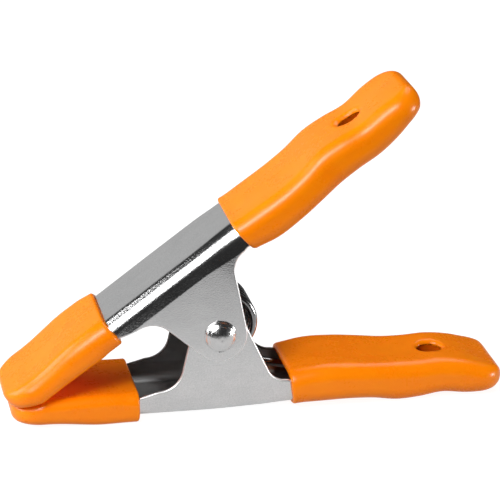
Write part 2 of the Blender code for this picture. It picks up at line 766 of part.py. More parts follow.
def main():
    clear_scene()
    parts = new_collection("spring_clamp")
    cutters = new_collection("cutters")
    steel = material("plated_steel", (0.55, 0.55, 0.55), 0.32, 1.0)
    bright = material("rivet_steel", (0.62, 0.62, 0.62), 0.22, 1.0)
    wire = material("spring_steel", (0.22, 0.22, 0.23), 0.25, 1.0)
    soft = material("orange_vinyl", (0.95, 0.27, 0.02), 0.35, 0.0)
    clamp, upper, lower = make_frames(parts)
    frames = (upper, lower)
    place_pair(lever_mesh(cutters), ("upper_lever", "lower_lever"), frames, steel, parts)
    place_pair(jaw_sleeve_mesh(), ("upper_jaw_sleeve", "lower_jaw_sleeve"), frames, soft, parts)
    place_pair(grip_mesh(cutters), ("upper_grip", "lower_grip"), frames, soft, parts)
    make_rivet(parts, bright, clamp)
    make_spring(parts, wire, clamp)
    solids = [piece for piece in parts.objects if piece.type != "EMPTY"]
    lie = stand_on_floor(clamp, solids)
    pivot = clamp.matrix_world.translation / MM
    print(f"rivet axis at x {pivot.x:.3f}, z {pivot.z:.3f} mm, lie {math.degrees(lie):.3f} degrees")


main()
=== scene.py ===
# %% [markdown]
# # A spring clamp, dressed
#
# A spring clamp is two pressed steel levers that cross on one rivet. A coil spring between
# them pushes the handles apart and so shuts the jaws, and soft vinyl sleeves cover both ends
# of each lever.
#
# The solids of the clamp are already made, at their real size, and they turn on the rivet.
# This script draws each piece again over its solid, with the rolled bends, sheared edges,
# soft lips and finishes that the solids leave out. Sizes are in millimetres until a mesh is
# closed, and metres after that.

# %% Load the solids
import json
import math

import bmesh
import bpy
from mathutils import Matrix, Vector, noise


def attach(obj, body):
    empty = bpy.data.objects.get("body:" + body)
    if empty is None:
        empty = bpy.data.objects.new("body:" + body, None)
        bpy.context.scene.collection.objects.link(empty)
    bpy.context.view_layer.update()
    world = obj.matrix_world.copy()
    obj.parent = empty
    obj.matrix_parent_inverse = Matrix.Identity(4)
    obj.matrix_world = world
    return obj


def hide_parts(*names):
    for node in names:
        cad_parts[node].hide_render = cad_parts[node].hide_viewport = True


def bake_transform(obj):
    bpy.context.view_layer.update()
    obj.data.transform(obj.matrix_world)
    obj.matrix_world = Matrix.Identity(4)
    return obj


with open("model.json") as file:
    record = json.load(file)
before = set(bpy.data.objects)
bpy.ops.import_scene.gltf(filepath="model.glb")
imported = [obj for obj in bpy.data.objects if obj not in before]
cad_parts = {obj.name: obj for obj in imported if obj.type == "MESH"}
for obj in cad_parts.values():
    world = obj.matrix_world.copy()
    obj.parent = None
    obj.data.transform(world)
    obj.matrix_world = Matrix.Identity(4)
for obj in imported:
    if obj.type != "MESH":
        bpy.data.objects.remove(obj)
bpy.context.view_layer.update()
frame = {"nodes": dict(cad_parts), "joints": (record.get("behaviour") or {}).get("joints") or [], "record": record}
print("pieces that stand ready:", ", ".join(sorted(frame["nodes"])))

# %% [markdown]
# ## Where the levers lie
#
# Both levers are one pressing, so one drawing serves for both. It is drawn in the lever's own
# frame: x runs along the lever towards the handle, y across it, and z out from the rivet
# towards the lever's back. The upper lever is that frame tilted by the jaw angle. The lower
# one is the same frame turned over. Each is moved half a step to its own side, so that on
# either side of the clamp one lever's ear passes outside the other's.
#
# The rivet's place comes from the clamp's own joint, and the slight lie of the whole clamp
# on the floor from the flat that it rests on.

# %% The frames of the two levers
MM = 0.001  # one millimetre, in metres
JAW_ANGLE = math.radians(34.3)
SHEET = 1.4
EAR_GAP = 0.3
SIDE_STEP = (SHEET + EAR_GAP) / 2

rivet_at = Vector(frame["joints"][0]["pos_m"])
lie = math.asin(frame["record"]["mounts"][0]["axis"][0])
clamp_frame = Matrix.Translation(rivet_at) @ Matrix.Rotation(-lie, 4, "Y")
step_aside = Matrix.Translation((0, -SIDE_STEP * MM, 0))
upper_frame = clamp_frame @ Matrix.Rotation(-JAW_ANGLE, 4, "Y") @ step_aside
lower_frame = clamp_frame @ Matrix.Rotation(math.pi, 4, "X") @ step_aside
print(f"rivet {rivet_at.x / MM:.2f}, {rivet_at.z / MM:.2f} mm; lie {math.degrees(lie):.2f} degrees")

# %% [markdown]
# ## The camera
#
# The clamp is seen from its front, a little from the left and from above. A long lens keeps
# the two jaws nearly the same size, as in a catalogue picture. The camera is placed by a
# heading, a height angle and a small roll about the rivet, then slid a little to the right
# and up to frame the clamp.

# %% Place the camera
CAMERA_TURN = math.radians(-11.69)
CAMERA_RISE = math.radians(21.31)
CAMERA_ROLL = math.radians(-0.38)
CAMERA_AWAY, CAMERA_RIGHT, CAMERA_UP = 0.8, 0.0126, 0.02227
FOCAL_PIXELS = 2450
PICTURE_PIXELS = 500

back = Vector((
    math.sin(CAMERA_TURN) * math.cos(CAMERA_RISE),
    -math.cos(CAMERA_TURN) * math.cos(CAMERA_RISE),
    math.sin(CAMERA_RISE),
))
level = Vector((math.cos(CAMERA_TURN), math.sin(CAMERA_TURN), 0))
rise = back.cross(level)
right = level * math.cos(CAMERA_ROLL) + rise * math.sin(CAMERA_ROLL)
up = rise * math.cos(CAMERA_ROLL) - level * math.sin(CAMERA_ROLL)
eye = right * CAMERA_RIGHT + up * CAMERA_UP + back * CAMERA_AWAY

lens = bpy.data.cameras.new("camera")
lens.sensor_width = 36
lens.lens = FOCAL_PIXELS / PICTURE_PIXELS * lens.sensor_width
lens.clip_start = 0.01
lens.clip_end = 50
camera = bpy.data.objects.new("camera", lens)
bpy.context.scene.collection.objects.link(camera)
stand = Matrix((right, up, back)).transposed().to_4x4()
stand.translation = eye
camera.matrix_world = clamp_frame @ stand
bpy.context.scene.camera = camera
print(f"lens {lens.lens:.0f} mm, {CAMERA_AWAY} m from the rivet")

# %% [markdown]
# ## The outline of a lever
#
# A lever could be cut from a box, but a pressing has no thick parts: it is one sheet, bent
# along its two long sides. So it is drawn as a sheet, row by row. Each row needs four things
# at its distance along the lever: how wide the channel is, how far out its back stands, how
# round its bends are, and where the free edge of its side flanges runs.
#
# The width and the back swell and narrow along the grip, as a hand wants them. A short table
# holds those swells, and a curve through the table gives every row between.

# %% Curves that the outline is made of


def smooth_step(low, high, value):
    """0 below low, 1 above high, and an S curve between."""
    share = min(max((value - low) / (high - low), 0), 1)
    return share * share * (3 - 2 * share)


def through(table, share):
    """Read a table of (share, value) along a smooth curve."""
    share = min(max(share, table[0][0]), table[-1][0])
    after = next(i for i, row in enumerate(table) if row[0] >= share and i > 0)
    before = after - 1

    def slope(i):
        low = table[max(i - 1, 0)]
        high = table[min(i + 1, len(table) - 1)]
        return (high[1] - low[1]) / (high[0] - low[0])

    span = table[after][0] - table[before][0]
    t = (share - table[before][0]) / span
    values = table[before][1] * (2 * t**3 - 3 * t**2 + 1)
    values += table[after][1] * (3 * t**2 - 2 * t**3)
    slopes = slope(before) * (t**3 - 2 * t**2 + t) + slope(after) * (t**3 - t**2)
    return values + slopes * span


def corner_inset(radius, to_end):
    """How far a rounded corner has drawn in, at a distance from the end it rounds."""
    if to_end >= radius:
        return 0.0
    reach = radius - max(to_end, 0)
    return radius - math.sqrt(radius * radius - reach * reach)


print(f"a step is {smooth_step(0, 4, 1):.2f} at a quarter of its way")

# %% The lever's sizes
CHANNEL_WIDTH = 28.8
WEB_DEPTH = 25.9
WEB_BOW, BOW_AT, BOW_FADE = 1.1, 16.0, 13.0
EDGE_DEPTH = WEB_DEPTH - 7.4
JAW_REACH, HANDLE_REACH = 63.8, 93.0
NOSE_CORNER, TAIL_CORNER, NOSE_TAPER = 6.5, 4.7, 20.0
JAW_MOUTH, GRIP_MOUTH = 26.6, 24.4
JAW_WALL, JAW_TIP_WALL = 2.0, 3.2
GRIP_WALL, GRIP_TIP_WALL = 1.6, 3.4
JAW_DEPTH, GRIP_DEPTH = 17.9, 15.9
PAD_GAP, SLEEVE_GAP = 0.3, 0.3
GRIP_END = HANDLE_REACH + SLEEVE_GAP + GRIP_TIP_WALL
EDGE_CLEAR, JAW_EDGE_CLEAR, LEAST_FLANGE = 1.6, 0.8, 0.3
print(f"each lever is {JAW_REACH + HANDLE_REACH:.1f} mm long and {CHANNEL_WIDTH} mm wide")

# %% How the width and the back change along the lever
BOW_HIDES = (GRIP_MOUTH + 2, GRIP_MOUTH + 16)
CROWN_STARTS, CROWN_ENDS = (-JAW_MOUTH - 14, -JAW_MOUTH), (-6, 24)
SHARES = (0, 0.14, 0.27, 0.38, 0.49, 0.60, 0.71, 0.82, 0.91, 1)
BACK_SWELL = tuple(zip(SHARES, (0, 0, 0.1, 0.8, 2.3, 2.1, 1.3, 2.1, 2.1, 1.6)))
SIDE_SWELL = tuple(zip(SHARES, (-0.5, -0.1, 0, -0.4, -1.0, -1.1, -1.3, -0.9, -0.6, -0.6)))
INNER_SWELL = tuple(zip(SHARES, (0.4, -0.8, -0.5, 0.3, 1.1, 1.4, 1.2, 2.4, 4.3, 6.4)))


def pad_depth(reach):
    """Depth of the plane halfway between the two levers."""
    return reach * math.tan(JAW_ANGLE / 2) + PAD_GAP / 2 / math.cos(JAW_ANGLE / 2)


def grip_share(x):
    """0 at a grip's mouth, 1 at its end."""
    return (x - GRIP_MOUTH) / (GRIP_END - GRIP_MOUTH)


def plain_half_width(x):
    """Half the channel's width, before its ends are rounded."""
    side = through(SIDE_SWELL, grip_share(x))
    return CHANNEL_WIDTH / 2 + side * smooth_step(GRIP_MOUTH / 2, GRIP_MOUTH, x)


def half_width(x):
    """Half the channel's width."""
    nose = corner_inset(NOSE_CORNER, JAW_REACH + x)
    return plain_half_width(x) - nose - corner_inset(TAIL_CORNER, HANDLE_REACH - x)


def inner_depth(x):
    """Depth of the inner face of the sleeve that covers the lever here."""
    if x >= 0:
        return GRIP_DEPTH + through(INNER_SWELL, grip_share(x))
    return max(JAW_DEPTH, pad_depth(-x))


def web_depth(x):
    """Depth of the lever's back. It bows out a little between the two sleeves."""
    climb = min(max((x + JAW_MOUTH) / (BOW_AT + JAW_MOUTH), 0), 1)
    bow = WEB_BOW * climb * (1 - smooth_step(BOW_AT, BOW_AT + BOW_FADE, x))
    if x >= 0:
        return WEB_DEPTH + bow + through(BACK_SWELL, grip_share(x))
    nose_depth = inner_depth(-JAW_REACH) + JAW_WALL + JAW_EDGE_CLEAR + SHEET
    drawn_in = smooth_step(0, NOSE_TAPER, -x - (JAW_REACH - NOSE_CORNER - NOSE_TAPER))
    return WEB_DEPTH + bow + (nose_depth - WEB_DEPTH) * drawn_in


def steel_back(x, crown):
    """Depth of the steel itself. Its bow and crown fade only where the sleeves hide them."""
    kept = WEB_BOW * smooth_step(BOW_AT, BOW_AT + BOW_FADE, x)
    kept *= 1 - smooth_step(*BOW_HIDES, x)
    kept += crown * smooth_step(*CROWN_STARTS, x) * (1 - smooth_step(*CROWN_ENDS, x))
    return web_depth(x) + kept


print(f"the back stands {steel_back(BOW_AT, 0):.1f} mm from the rivet at the top of its bow")

# %% [markdown]
# ## The ears
#
# On each side the flange runs down into an ear, and the rivet goes through the four ears.
# The edge of a pressing is drawn as one line: along the flange, round a fillet, down a
# straight lean, round the lobe about the rivet, and back up. Because the ear only ever gets
# narrower towards the rivet, the line has one depth at each distance along the lever, so it
# can be read like any of the curves above.

# %% The free edge of a flange
EAR_RADIUS = 9.0
EAR_LEAN_JAW, EAR_LEAN_HANDLE = math.radians(13.5), math.radians(24)
EAR_FILLET_JAW, EAR_FILLET_HANDLE = 8.0, 7.0
EDGE_SWELL = 0.5
LOBE_STEPS, JAW_MARKS, GRIP_MARKS, GRIP_MARK_STEP = 48, 37, 34, 2


def fillet(corner, along_a, along_b, radius, steps=14):
    """Points of an arc that rounds a corner, from the side of a to the side of b."""
    a = along_a.normalized()
    b = along_b.normalized()
    half_turn = a.angle(b) / 2
    centre = corner + (a + b).normalized() * (radius / math.sin(half_turn))
    start = corner + a * (radius / math.tan(half_turn)) - centre
    end = corner + b * (radius / math.tan(half_turn)) - centre
    sweep = start.angle_signed(end)
    return [centre + Matrix.Rotation(-sweep * i / steps, 2) @ start for i in range(steps + 1)]


def ear_side(lean, way):
    """One straight side of an ear: its direction, and its corner at the flange's edge."""
    along = Vector((way * math.sin(lean), math.cos(lean)))
    touch = Vector((way * math.cos(lean), -math.sin(lean))) * (EAR_RADIUS - EDGE_SWELL)
    return along, touch + along * ((EDGE_DEPTH + EDGE_SWELL - touch.y) / along.y)


def flange_line():
    """The flat part's edge as (x, depth) points, from the nose to the tail.

    It stops short of the sheared edge by the swell that rounds it later.
    """
    jaw_edge, jaw_corner = ear_side(EAR_LEAN_JAW, -1)
    handle_edge, handle_corner = ear_side(EAR_LEAN_HANDLE, 1)
    first = math.pi + EAR_LEAN_JAW
    last = 2 * math.pi - EAR_LEAN_HANDLE
    turns = [first + (last - first) * i / LOBE_STEPS for i in range(LOBE_STEPS + 1)]
    lobe = [Vector((math.cos(turn), math.sin(turn))) * (EAR_RADIUS - EDGE_SWELL) for turn in turns]
    ear = fillet(jaw_corner, Vector((-1, 0)), -jaw_edge, EAR_FILLET_JAW + EDGE_SWELL) + lobe
    ear += fillet(handle_corner, -handle_edge, Vector((1, 0)), EAR_FILLET_HANDLE + EDGE_SWELL)

    def covered(x, wall):
        return min(inner_depth(x) + wall + EDGE_CLEAR, web_depth(x) - SHEET - LEAST_FLANGE)

    jaw = [(x, covered(x, JAW_WALL)) for x in (-JAW_REACH + i for i in range(JAW_MARKS))]
    jaw.append((-JAW_MOUTH, JAW_DEPTH + JAW_WALL + JAW_EDGE_CLEAR))
    marks = [GRIP_MOUTH + i * GRIP_MARK_STEP for i in range(GRIP_MARKS)]
    handle = [(x, covered(x, GRIP_WALL)) for x in marks]
    return jaw + [tuple(point) for point in ear] + handle + [(HANDLE_REACH, handle[-1][1])]


FLANGE_LINE = flange_line()


def edge_depth(x):
    """Depth of the flange's free edge."""
    for (x0, z0), (x1, z1) in zip(FLANGE_LINE, FLANGE_LINE[1:]):
        if x <= x1:
            share = (x - x0) / (x1 - x0) if x1 > x0 else 1
            return z0 + (z1 - z0) * min(max(share, 0), 1)
    return FLANGE_LINE[-1][1]


print(f"the edge is a line of {len(FLANGE_LINE)} points, {edge_depth(0):.1f} mm at the lobe")

# %% [markdown]
# ## Rows of the channel
#
# Across the lever each row is the same walk: up one flange, round a bend, over the back and
# down again. The two bends differ, because the die closes one side tighter than the other.
# The tight bend is a plain quarter round. The open one springs back a little before it
# reaches the flange. It leaves the back on a nearly round arc, runs down a straight lean, and
# ends in a faint crease where the flange begins. Light along the shoulder shows all three,
# so they are worth drawing. The open bend widens a little towards the grip.

# %% The two bends, and one row
TIGHT_RADIUS = 3.2
OPEN_DOWN, OPEN_ACROSS = 5.2, 5.4
RELEASE, RELEASE_DROP, CREASE = math.radians(11), 2.6, 0.25
GRIP_WIDENING, NARROW_HALF = 0.15, 10
WIDENS, NARROWS_AGAIN = (6, GRIP_MOUTH), (30, 50)


def tight_bend(steps=20):
    """The tight bend as (inward, down) points, from the flange to the back."""
    turns = [math.pi / 2 * i / steps for i in range(steps + 1)]
    return [(TIGHT_RADIUS * (1 - math.cos(t)), TIGHT_RADIUS * (1 - math.sin(t))) for t in turns]


def open_bend(scale, steps=17):
    """The open bend: a faint crease above the flange, a straight lean, and an ellipse."""
    down, across = OPEN_DOWN * scale, OPEN_ACROSS * scale
    last = math.atan(across / down / math.tan(RELEASE))
    drop = RELEASE_DROP * scale
    lean = drop * math.tan(RELEASE)
    whole_in = across * math.sin(last) + lean
    whole_down = down * (1 - math.cos(last)) + drop
    crease = ((0, CREASE), (0.01, 0), (CREASE * math.tan(RELEASE), -CREASE))
    points = [(inward, whole_down + low) for inward, low in crease]
    for i in range(steps + 1):
        turn = last * (1 - i / steps)
        points.append((whole_in - across * math.sin(turn), down * (1 - math.cos(turn))))
    return points


def flank(half, top, edge, bend, flange_steps=10):
    """One flange and its bend as (y, z) points, from the free edge to the back."""
    path = [(half - inward, top - down) for inward, down in bend]
    if edge < path[0][1]:
        rise_by = (path[0][1] - edge) / flange_steps
        return [(half, edge + rise_by * i) for i in range(flange_steps)] + path
    first = next(i for i, (_, z) in enumerate(path) if z > edge)
    (y0, z0), (y1, z1) = path[first - 1], path[first]
    start = (y0 + (y1 - y0) * (edge - z0) / (z1 - z0), edge)
    return [start] * (flange_steps + first) + path[first:]


def channel_row(x, crown, web_steps=16):
    """The channel's outer line across the lever, as (y, z) points."""
    half = half_width(x)
    top = steel_back(x, crown)
    wider = smooth_step(*WIDENS, x) * (1 - smooth_step(*NARROWS_AGAIN, x))
    scale = (1 + GRIP_WIDENING * wider) * min(half / NARROW_HALF, 1)
    tight = flank(half, top, edge_depth(x), tight_bend())
    loose = flank(half, top, edge_depth(x), open_bend(scale))
    start, stop = tight[-1][0], -loose[-1][0]
    web = [(start + (stop - start) * i / web_steps, top) for i in range(1, web_steps)]
    return tight + web + [(-y, z) for y, z in reversed(loose)]


print(f"a row across the rivet has {len(channel_row(0, 0))} points")

# %% Where the rows stand
BARE_STEEL, BARE_ROWS, ROW_STEP, LEAST_STEP = 26, 66, 0.8, 0.05
CORNER_SHARES = (0.02, 0.06, 0.14, 0.3, 0.6)


def lever_stations():
    """Distances along the lever where a row stands: close together round the ear's outline."""
    marks = {round(x, 4) for x, _ in FLANGE_LINE}
    marks |= {round(-JAW_REACH + NOSE_CORNER * share, 4) for share in CORNER_SHARES}
    marks |= {round(HANDLE_REACH - TAIL_CORNER * share, 4) for share in CORNER_SHARES}
    marks |= {round(-BARE_STEEL + step * ROW_STEP, 4) for step in range(BARE_ROWS)}
    kept = []
    for mark in sorted(marks):
        if not kept or mark - kept[-1] > LEAST_STEP:
            kept.append(mark)
    return kept


print(f"{len(lever_stations())} rows along a lever")

# %% [markdown]
# ## From sheet to pressing
#
# Solidify gives the sheet its thickness. It puts the sheared rim into its own material slot,
# because a sheared edge is brighter than a plated face, and the channel's inside into
# another, whose darker colour is painted shade for the channel's hollow. The rim is still
# square then. A bevel would be the usual tool, but it fails where
# the rows crowd along the steep sides of the ears. So each rim face is drawn again as a
# strip that swells outwards: tumbled edges are never sharp, and that thin line of light is
# what makes steel look like steel. A sheared edge has two zones, burnished where the punch
# went in and torn where the sheet broke, so the strip has two slots. The torn zone is drawn
# far darker than a fracture is: painted shade for the dark line beside each edge. Two Booleans
# punch the holes last: one through both ears for the rivet, one through the handle to hang it by.

# %% Helpers that close a mesh


def new_piece(name, mesh):
    """An object for a mesh, linked to the scene."""
    made = bpy.data.objects.new(name, mesh)
    bpy.context.scene.collection.objects.link(made)
    return made


def close_mesh(bm, name):
    """A bmesh drawn in millimetres becomes a mesh in metres whose faces point outwards."""
    bmesh.ops.remove_doubles(bm, verts=bm.verts, dist=1e-4)
    bmesh.ops.recalc_face_normals(bm, faces=bm.faces)
    bmesh.ops.scale(bm, vec=(MM, MM, MM), verts=bm.verts)
    mesh = bpy.data.meshes.new(name)
    bm.to_mesh(mesh)
    bm.free()
    mesh.shade_smooth()
    return mesh


def loft(bm, rows, closed):
    """Faces between rows of vertices that hold the same number each."""
    for before, after in zip(rows, rows[1:]):
        count = len(before) if closed else len(before) - 1
        for i in range(count):
            j = (i + 1) % len(before)
            corners = [before[i], before[j], after[j], after[i]]
            if len(set(corners)) > 2:
                bm.faces.new(corners)


def bake_down(source, name):
    """Apply an object's modifiers and return the finished mesh. The source goes."""
    graph = bpy.context.evaluated_depsgraph_get()
    mesh = bpy.data.meshes.new_from_object(source.evaluated_get(graph), depsgraph=graph)
    mesh.name = name
    bpy.data.objects.remove(source, do_unlink=True)
    return mesh


def punch(target, radius, depth, matrix, sides=64):
    """Cut a round hole along a matrix's z axis, and return the cutter."""
    bm = bmesh.new()
    bmesh.ops.create_cone(
        bm, cap_ends=True, segments=sides, radius1=radius, radius2=radius, depth=depth
    )
    cutter = new_piece("punch", close_mesh(bm, "punch"))
    cutter.matrix_world = matrix
    step = target.modifiers.new("punch", "BOOLEAN")
    step.operation = "DIFFERENCE"
    step.solver = "EXACT"
    step.object = cutter
    return cutter


print("a mesh can be closed, lofted and punched")

# %% Round the rim of a sheet
# The torn and inside slots are darkened with painted shade: the dark line beside each edge, and the channel's
# hollow.
LEVER_SLOTS = ("face", "cut", "torn_and_shaded", "inside")
CUT_SLOT, TORN_AND_SHADE_SLOT, INSIDE_SLOT = 1, 2, 3
RIM_FADE = 9


def round_the_rim(mesh, steps=6):
    """Draw the square rim of a sheet again as a rounded strip, bright outside, torn and darkened by painted shade
    inside.
    """
    bm = bmesh.new()
    bm.from_mesh(mesh)
    rim = [face for face in bm.faces if face.material_index == CUT_SLOT]
    square = set(rim)
    across = {edge for face in rim for edge in face.edges if set(edge.link_faces) <= square}
    bridges = {}
    for edge in across:
        near, far = sorted(edge.verts, key=lambda vert: -abs(vert.co.y) - vert.co.z)
        out = sum((face.normal for face in edge.link_faces), Vector()).normalized()
        x = near.co.x / MM
        fade = smooth_step(-JAW_REACH, -JAW_REACH + RIM_FADE, x)
        fade *= 1 - smooth_step(HANDLE_REACH - RIM_FADE, HANDLE_REACH, x)
        row = [near]
        for i in range(1, steps):
            turn = math.pi * i / steps
            spot = near.co.lerp(far.co, (1 - math.cos(turn)) / 2)
            row.append(bm.verts.new(spot + out * EDGE_SWELL * MM * fade * math.sin(turn)))
        bridges[edge] = row + [far]
    for face in rim:
        ends = [bridges[edge] for edge in face.edges if edge in bridges]
        if len(ends) != 2:
            continue
        one, two = ends
        if not any(one[0] in edge.verts and two[0] in edge.verts for edge in face.edges):
            two = two[::-1]
        for k in range(steps):
            corners = [one[k], one[k + 1], two[k + 1], two[k]]
            strip = bm.faces.new(dict.fromkeys(corners))
            # The inner half takes the torn finish, whose dark colour is partly painted shade.
            strip.material_index = CUT_SLOT if k < steps / 2 else TORN_AND_SHADE_SLOT
            strip.smooth = True
    bmesh.ops.delete(bm, geom=[face for face in rim if face.is_valid], context="FACES")
    bmesh.ops.recalc_face_normals(bm, faces=bm.faces)
    bm.to_mesh(mesh)
    bm.free()


print(f"a rim swells out by {EDGE_SWELL} mm")

# %% Press the lever
RIVET_HOLE = 4.1
HANG_HOLE_AT, STEEL_HANG_HOLE = 74.2, 5.2
PUNCH_LENGTH = 80
hang_hole = (HANG_HOLE_AT * MM, 0, 0)


def pressed_lever(crown):
    """The mesh of a pressing. Its back bows out a little more by the crown, in millimetres."""
    bm = bmesh.new()
    rows = []
    for x in lever_stations():
        rows.append([bm.verts.new((x, y, z)) for y, z in channel_row(x, crown)])
    loft(bm, rows, closed=False)
    sheet = close_mesh(bm, "lever_sheet")
    for slot in LEVER_SLOTS:
        sheet.materials.append(bpy.data.materials.new("lever_" + slot))
    blank = new_piece("lever_blank", sheet)
    back_face = max(sheet.polygons, key=lambda face: face.center.z)
    thick = blank.modifiers.new("thickness", "SOLIDIFY")
    thick.thickness = SHEET * MM
    thick.offset = -1 if back_face.normal.z > 0 else 1
    thick.use_even_offset = True
    thick.material_offset_rim = CUT_SLOT
    thick.material_offset = INSIDE_SLOT
    bpy.context.view_layer.update()
    sheet = bake_down(blank, "lever_sheet")
    round_the_rim(sheet)
    blank = new_piece("lever_blank", sheet)
    across, through_web = Matrix.Rotation(math.pi / 2, 4, "X"), Matrix.Translation(hang_hole)
    tools = [punch(blank, RIVET_HOLE, PUNCH_LENGTH, across)]
    tools.append(punch(blank, STEEL_HANG_HOLE, PUNCH_LENGTH, through_web))
    even = blank.modifiers.new("even_shading", "WEIGHTED_NORMAL")
    even.keep_sharp = True
    bpy.context.view_layer.update()
    mesh = bake_down(blank, "lever_pressing")
    for tool in tools:
        bpy.data.objects.remove(tool, do_unlink=True)
    return mesh


LEVER_CROWN = {"upper": 0.15, "lower": 0.8}
lever_mesh = {which: pressed_lever(crown) for which, crown in LEVER_CROWN.items()}
cut_faces = sum(face.material_index == CUT_SLOT for face in lever_mesh["upper"].polygons)
print(f"pressing: {len(lever_mesh['upper'].polygons)} faces, {cut_faces} of them cut edge")

# %% [markdown]
# ## Soft sleeves
#
# The jaw sleeves and the grips are dipped or moulded vinyl, pulled over the steel. Each is a
# tube of rounded rings from its mouth to its closed end. A thin skin would show at the
# mouth, so it has a real wall: the rings come forward along the hollow, turn round a soft
# lip at the mouth, and go back along the outside.
#
# A ring is a rounded rectangle across the lever. All rings have the same number of points in
# the same order, so two rings can be blended point by point. That is how the lip is made.

# %% One ring of a sleeve
MOST_ACROSS, MOST_DOWN, LEAST_FLAT = 0.9, 0.62, 0.04


def rounded_ring(half, outer, inner, outer_round, inner_round, across=22, arc=9, down=7):
    """A closed rounded rectangle across the lever, as (y, z) points.

    Its corners shrink where they would take up too much of the width or the height.
    """
    height = outer - inner
    outer_round = min(outer_round, half * MOST_ACROSS, height * MOST_DOWN)
    inner_round = min(inner_round, half * MOST_ACROSS, height - outer_round - height * LEAST_FLAT)
    corners = (
        (half - outer_round, outer - outer_round, outer_round, 0, across),
        (outer_round - half, outer - outer_round, outer_round, 90, down),
        (inner_round - half, inner + inner_round, inner_round, 180, across),
        (half - inner_round, inner + inner_round, inner_round, 270, down),
    )
    arcs = []
    for y, z, radius, start, _ in corners:
        turns = [math.radians(start + 90 * i / (arc - 1)) for i in range(arc)]
        arcs.append([(y + radius * math.cos(t), z + radius * math.sin(t)) for t in turns])
    points = []
    for i, (_, _, _, _, steps) in enumerate(corners):
        points += arcs[i]
        (y0, z0), (y1, z1) = arcs[i][-1], arcs[(i + 1) % 4][0]
        for k in range(1, steps):
            points.append((y0 + (y1 - y0) * k / steps, z0 + (z1 - z0) * k / steps))
    return points


print(f"a ring has {len(rounded_ring(15, 26, 17, 5, 4))} points")

# %% The sizes of the two kinds of sleeve
JAW = {
    "mouth": -JAW_MOUTH, "end": -JAW_REACH - SLEEVE_GAP - JAW_TIP_WALL, "wall": JAW_WALL,
    "corner": NOSE_CORNER + SLEEVE_GAP + JAW_TIP_WALL, "edge_round": 1.8,
    "inner_round": 3.5, "hollow_round": 0.9,
}
GRIP = {
    "mouth": GRIP_MOUTH, "end": GRIP_END, "wall": GRIP_WALL,
    "corner": TAIL_CORNER + SLEEVE_GAP + GRIP_TIP_WALL, "edge_round": 3.0,
    "outer_round": 4.8, "inner_round": 5.0, "mouth_round": 5.6, "hollow_round": 1.8,
    "flare": 0.15,
}
STEEL_BEND, HOLLOW_BEND = 5.0, 2.0
SNUG, LIP = 0.12, 0.9
MOUTH_SOFTENS, MOUTH_FLARES = (0, 9), (0, 6)
lengths = [abs(form["end"] - form["mouth"]) for form in (JAW, GRIP)]
print(f"a jaw sleeve is {lengths[0]:.1f} mm long, a grip {lengths[1]:.1f} mm")

# %% The walls of a sleeve


def outside_ring(x, form):
    """The outer wall of a sleeve at x."""
    to_end = abs(form["end"] - x)
    from_mouth = abs(x - form["mouth"])
    flare = form["flare"] * (1 - smooth_step(*MOUTH_FLARES, from_mouth))
    grow = SLEEVE_GAP + form["wall"]
    thinner = corner_inset(form["edge_round"], to_end)
    softer = form["mouth_round"] - form["inner_round"]
    softer *= 1 - smooth_step(*MOUTH_SOFTENS, from_mouth)
    return rounded_ring(
        plain_half_width(x) + grow + flare - corner_inset(form["corner"], to_end),
        web_depth(x) + grow + min(flare, 0) - thinner,
        inner_depth(x) + thinner,
        form["outer_round"],
        form["inner_round"] + softer,
    )


def hollow_ring(x, form):
    """The hollow of a sleeve, close round the steel."""
    softer = form["mouth_round"] - HOLLOW_BEND
    softer *= 1 - smooth_step(*MOUTH_SOFTENS, abs(x - form["mouth"]))
    return rounded_ring(
        half_width(x) + SNUG,
        steel_back(x, 0) + SNUG,
        min(inner_depth(x) + form["wall"], web_depth(x) - SHEET - JAW_EDGE_CLEAR),
        STEEL_BEND + SNUG,
        max(form["hollow_round"], softer),
    )


def lip_rings(form, steps=7):
    """The rounded lip at a sleeve's mouth, from the hollow round to the outside."""
    onward = 1 if form["end"] > form["mouth"] else -1
    outer = outside_ring(form["mouth"], form)
    hollow = hollow_ring(form["mouth"], form)
    rings = []
    for i in range(1, steps):
        turn = math.pi * i / steps
        share = (1 - math.cos(turn)) / 2
        x = form["mouth"] + onward * LIP * (1 - math.sin(turn))
        pairs = zip(hollow, outer)
        rings.append([(x, a + (c - a) * share, b + (d - b) * share) for (a, b), (c, d) in pairs])
    return rings


print(f"the jaw sleeves' wall is {JAW_WALL} mm thick, the grips' {GRIP_WALL} mm")

# %% [markdown]
# ## The life in a soft sleeve
#
# A dipped sleeve is never as true as a drawing. Its faces are faintly wavy where it shrank on
# the steel, and the rim of a punched hole rolls inwards. Both are small moves of the points:
# a slow noise that pushes them in and out, and a quarter round that sinks the points nearest
# to the hole. The rings stand closer together there, so that the roll has points to bend.
# The hollow would show through a hole, so each hole is lined with a short tunnel of its own.
# A sleeve is pushed on by hand too, so its mouth is seldom quite square: each one slants by
# its own amount.

# %% Waves and rolled rims
HOLE_ROLL = 1.4
WAVINESS, SIDE_WAVINESS = 0.12, 0.072
WAVES_PER_MM = (0.07, 0.11, 0.13)
SLANT_FADES = (0, 14)


def wave(point):
    """A slow, even waviness between -1 and 1, the same on every run."""
    return noise.noise(Vector([place * rate for place, rate in zip(point, WAVES_PER_MM)]))


def roll_in(x, y, hole):
    """How far the rim of the hanging hole has sunk at a place on the grip."""
    off = (math.hypot((x - HANG_HOLE_AT) / hole[0], y / hole[1]) - 1) * hole[1]
    if off >= HOLE_ROLL:
        return 0.0
    reach = min(HOLE_ROLL - off, HOLE_ROLL)
    return HOLE_ROLL - math.sqrt(max(HOLE_ROLL**2 - reach**2, 0))


def slanted(x, z, form, slant):
    """Where a point of a sleeve stands along the lever once its mouth slants."""
    share = (web_depth(x) - z) / (web_depth(x) - inner_depth(x))
    fade = 1 - smooth_step(*SLANT_FADES, abs(x - form["mouth"]))
    return x + slant * min(max(share, 0), 1) * fade


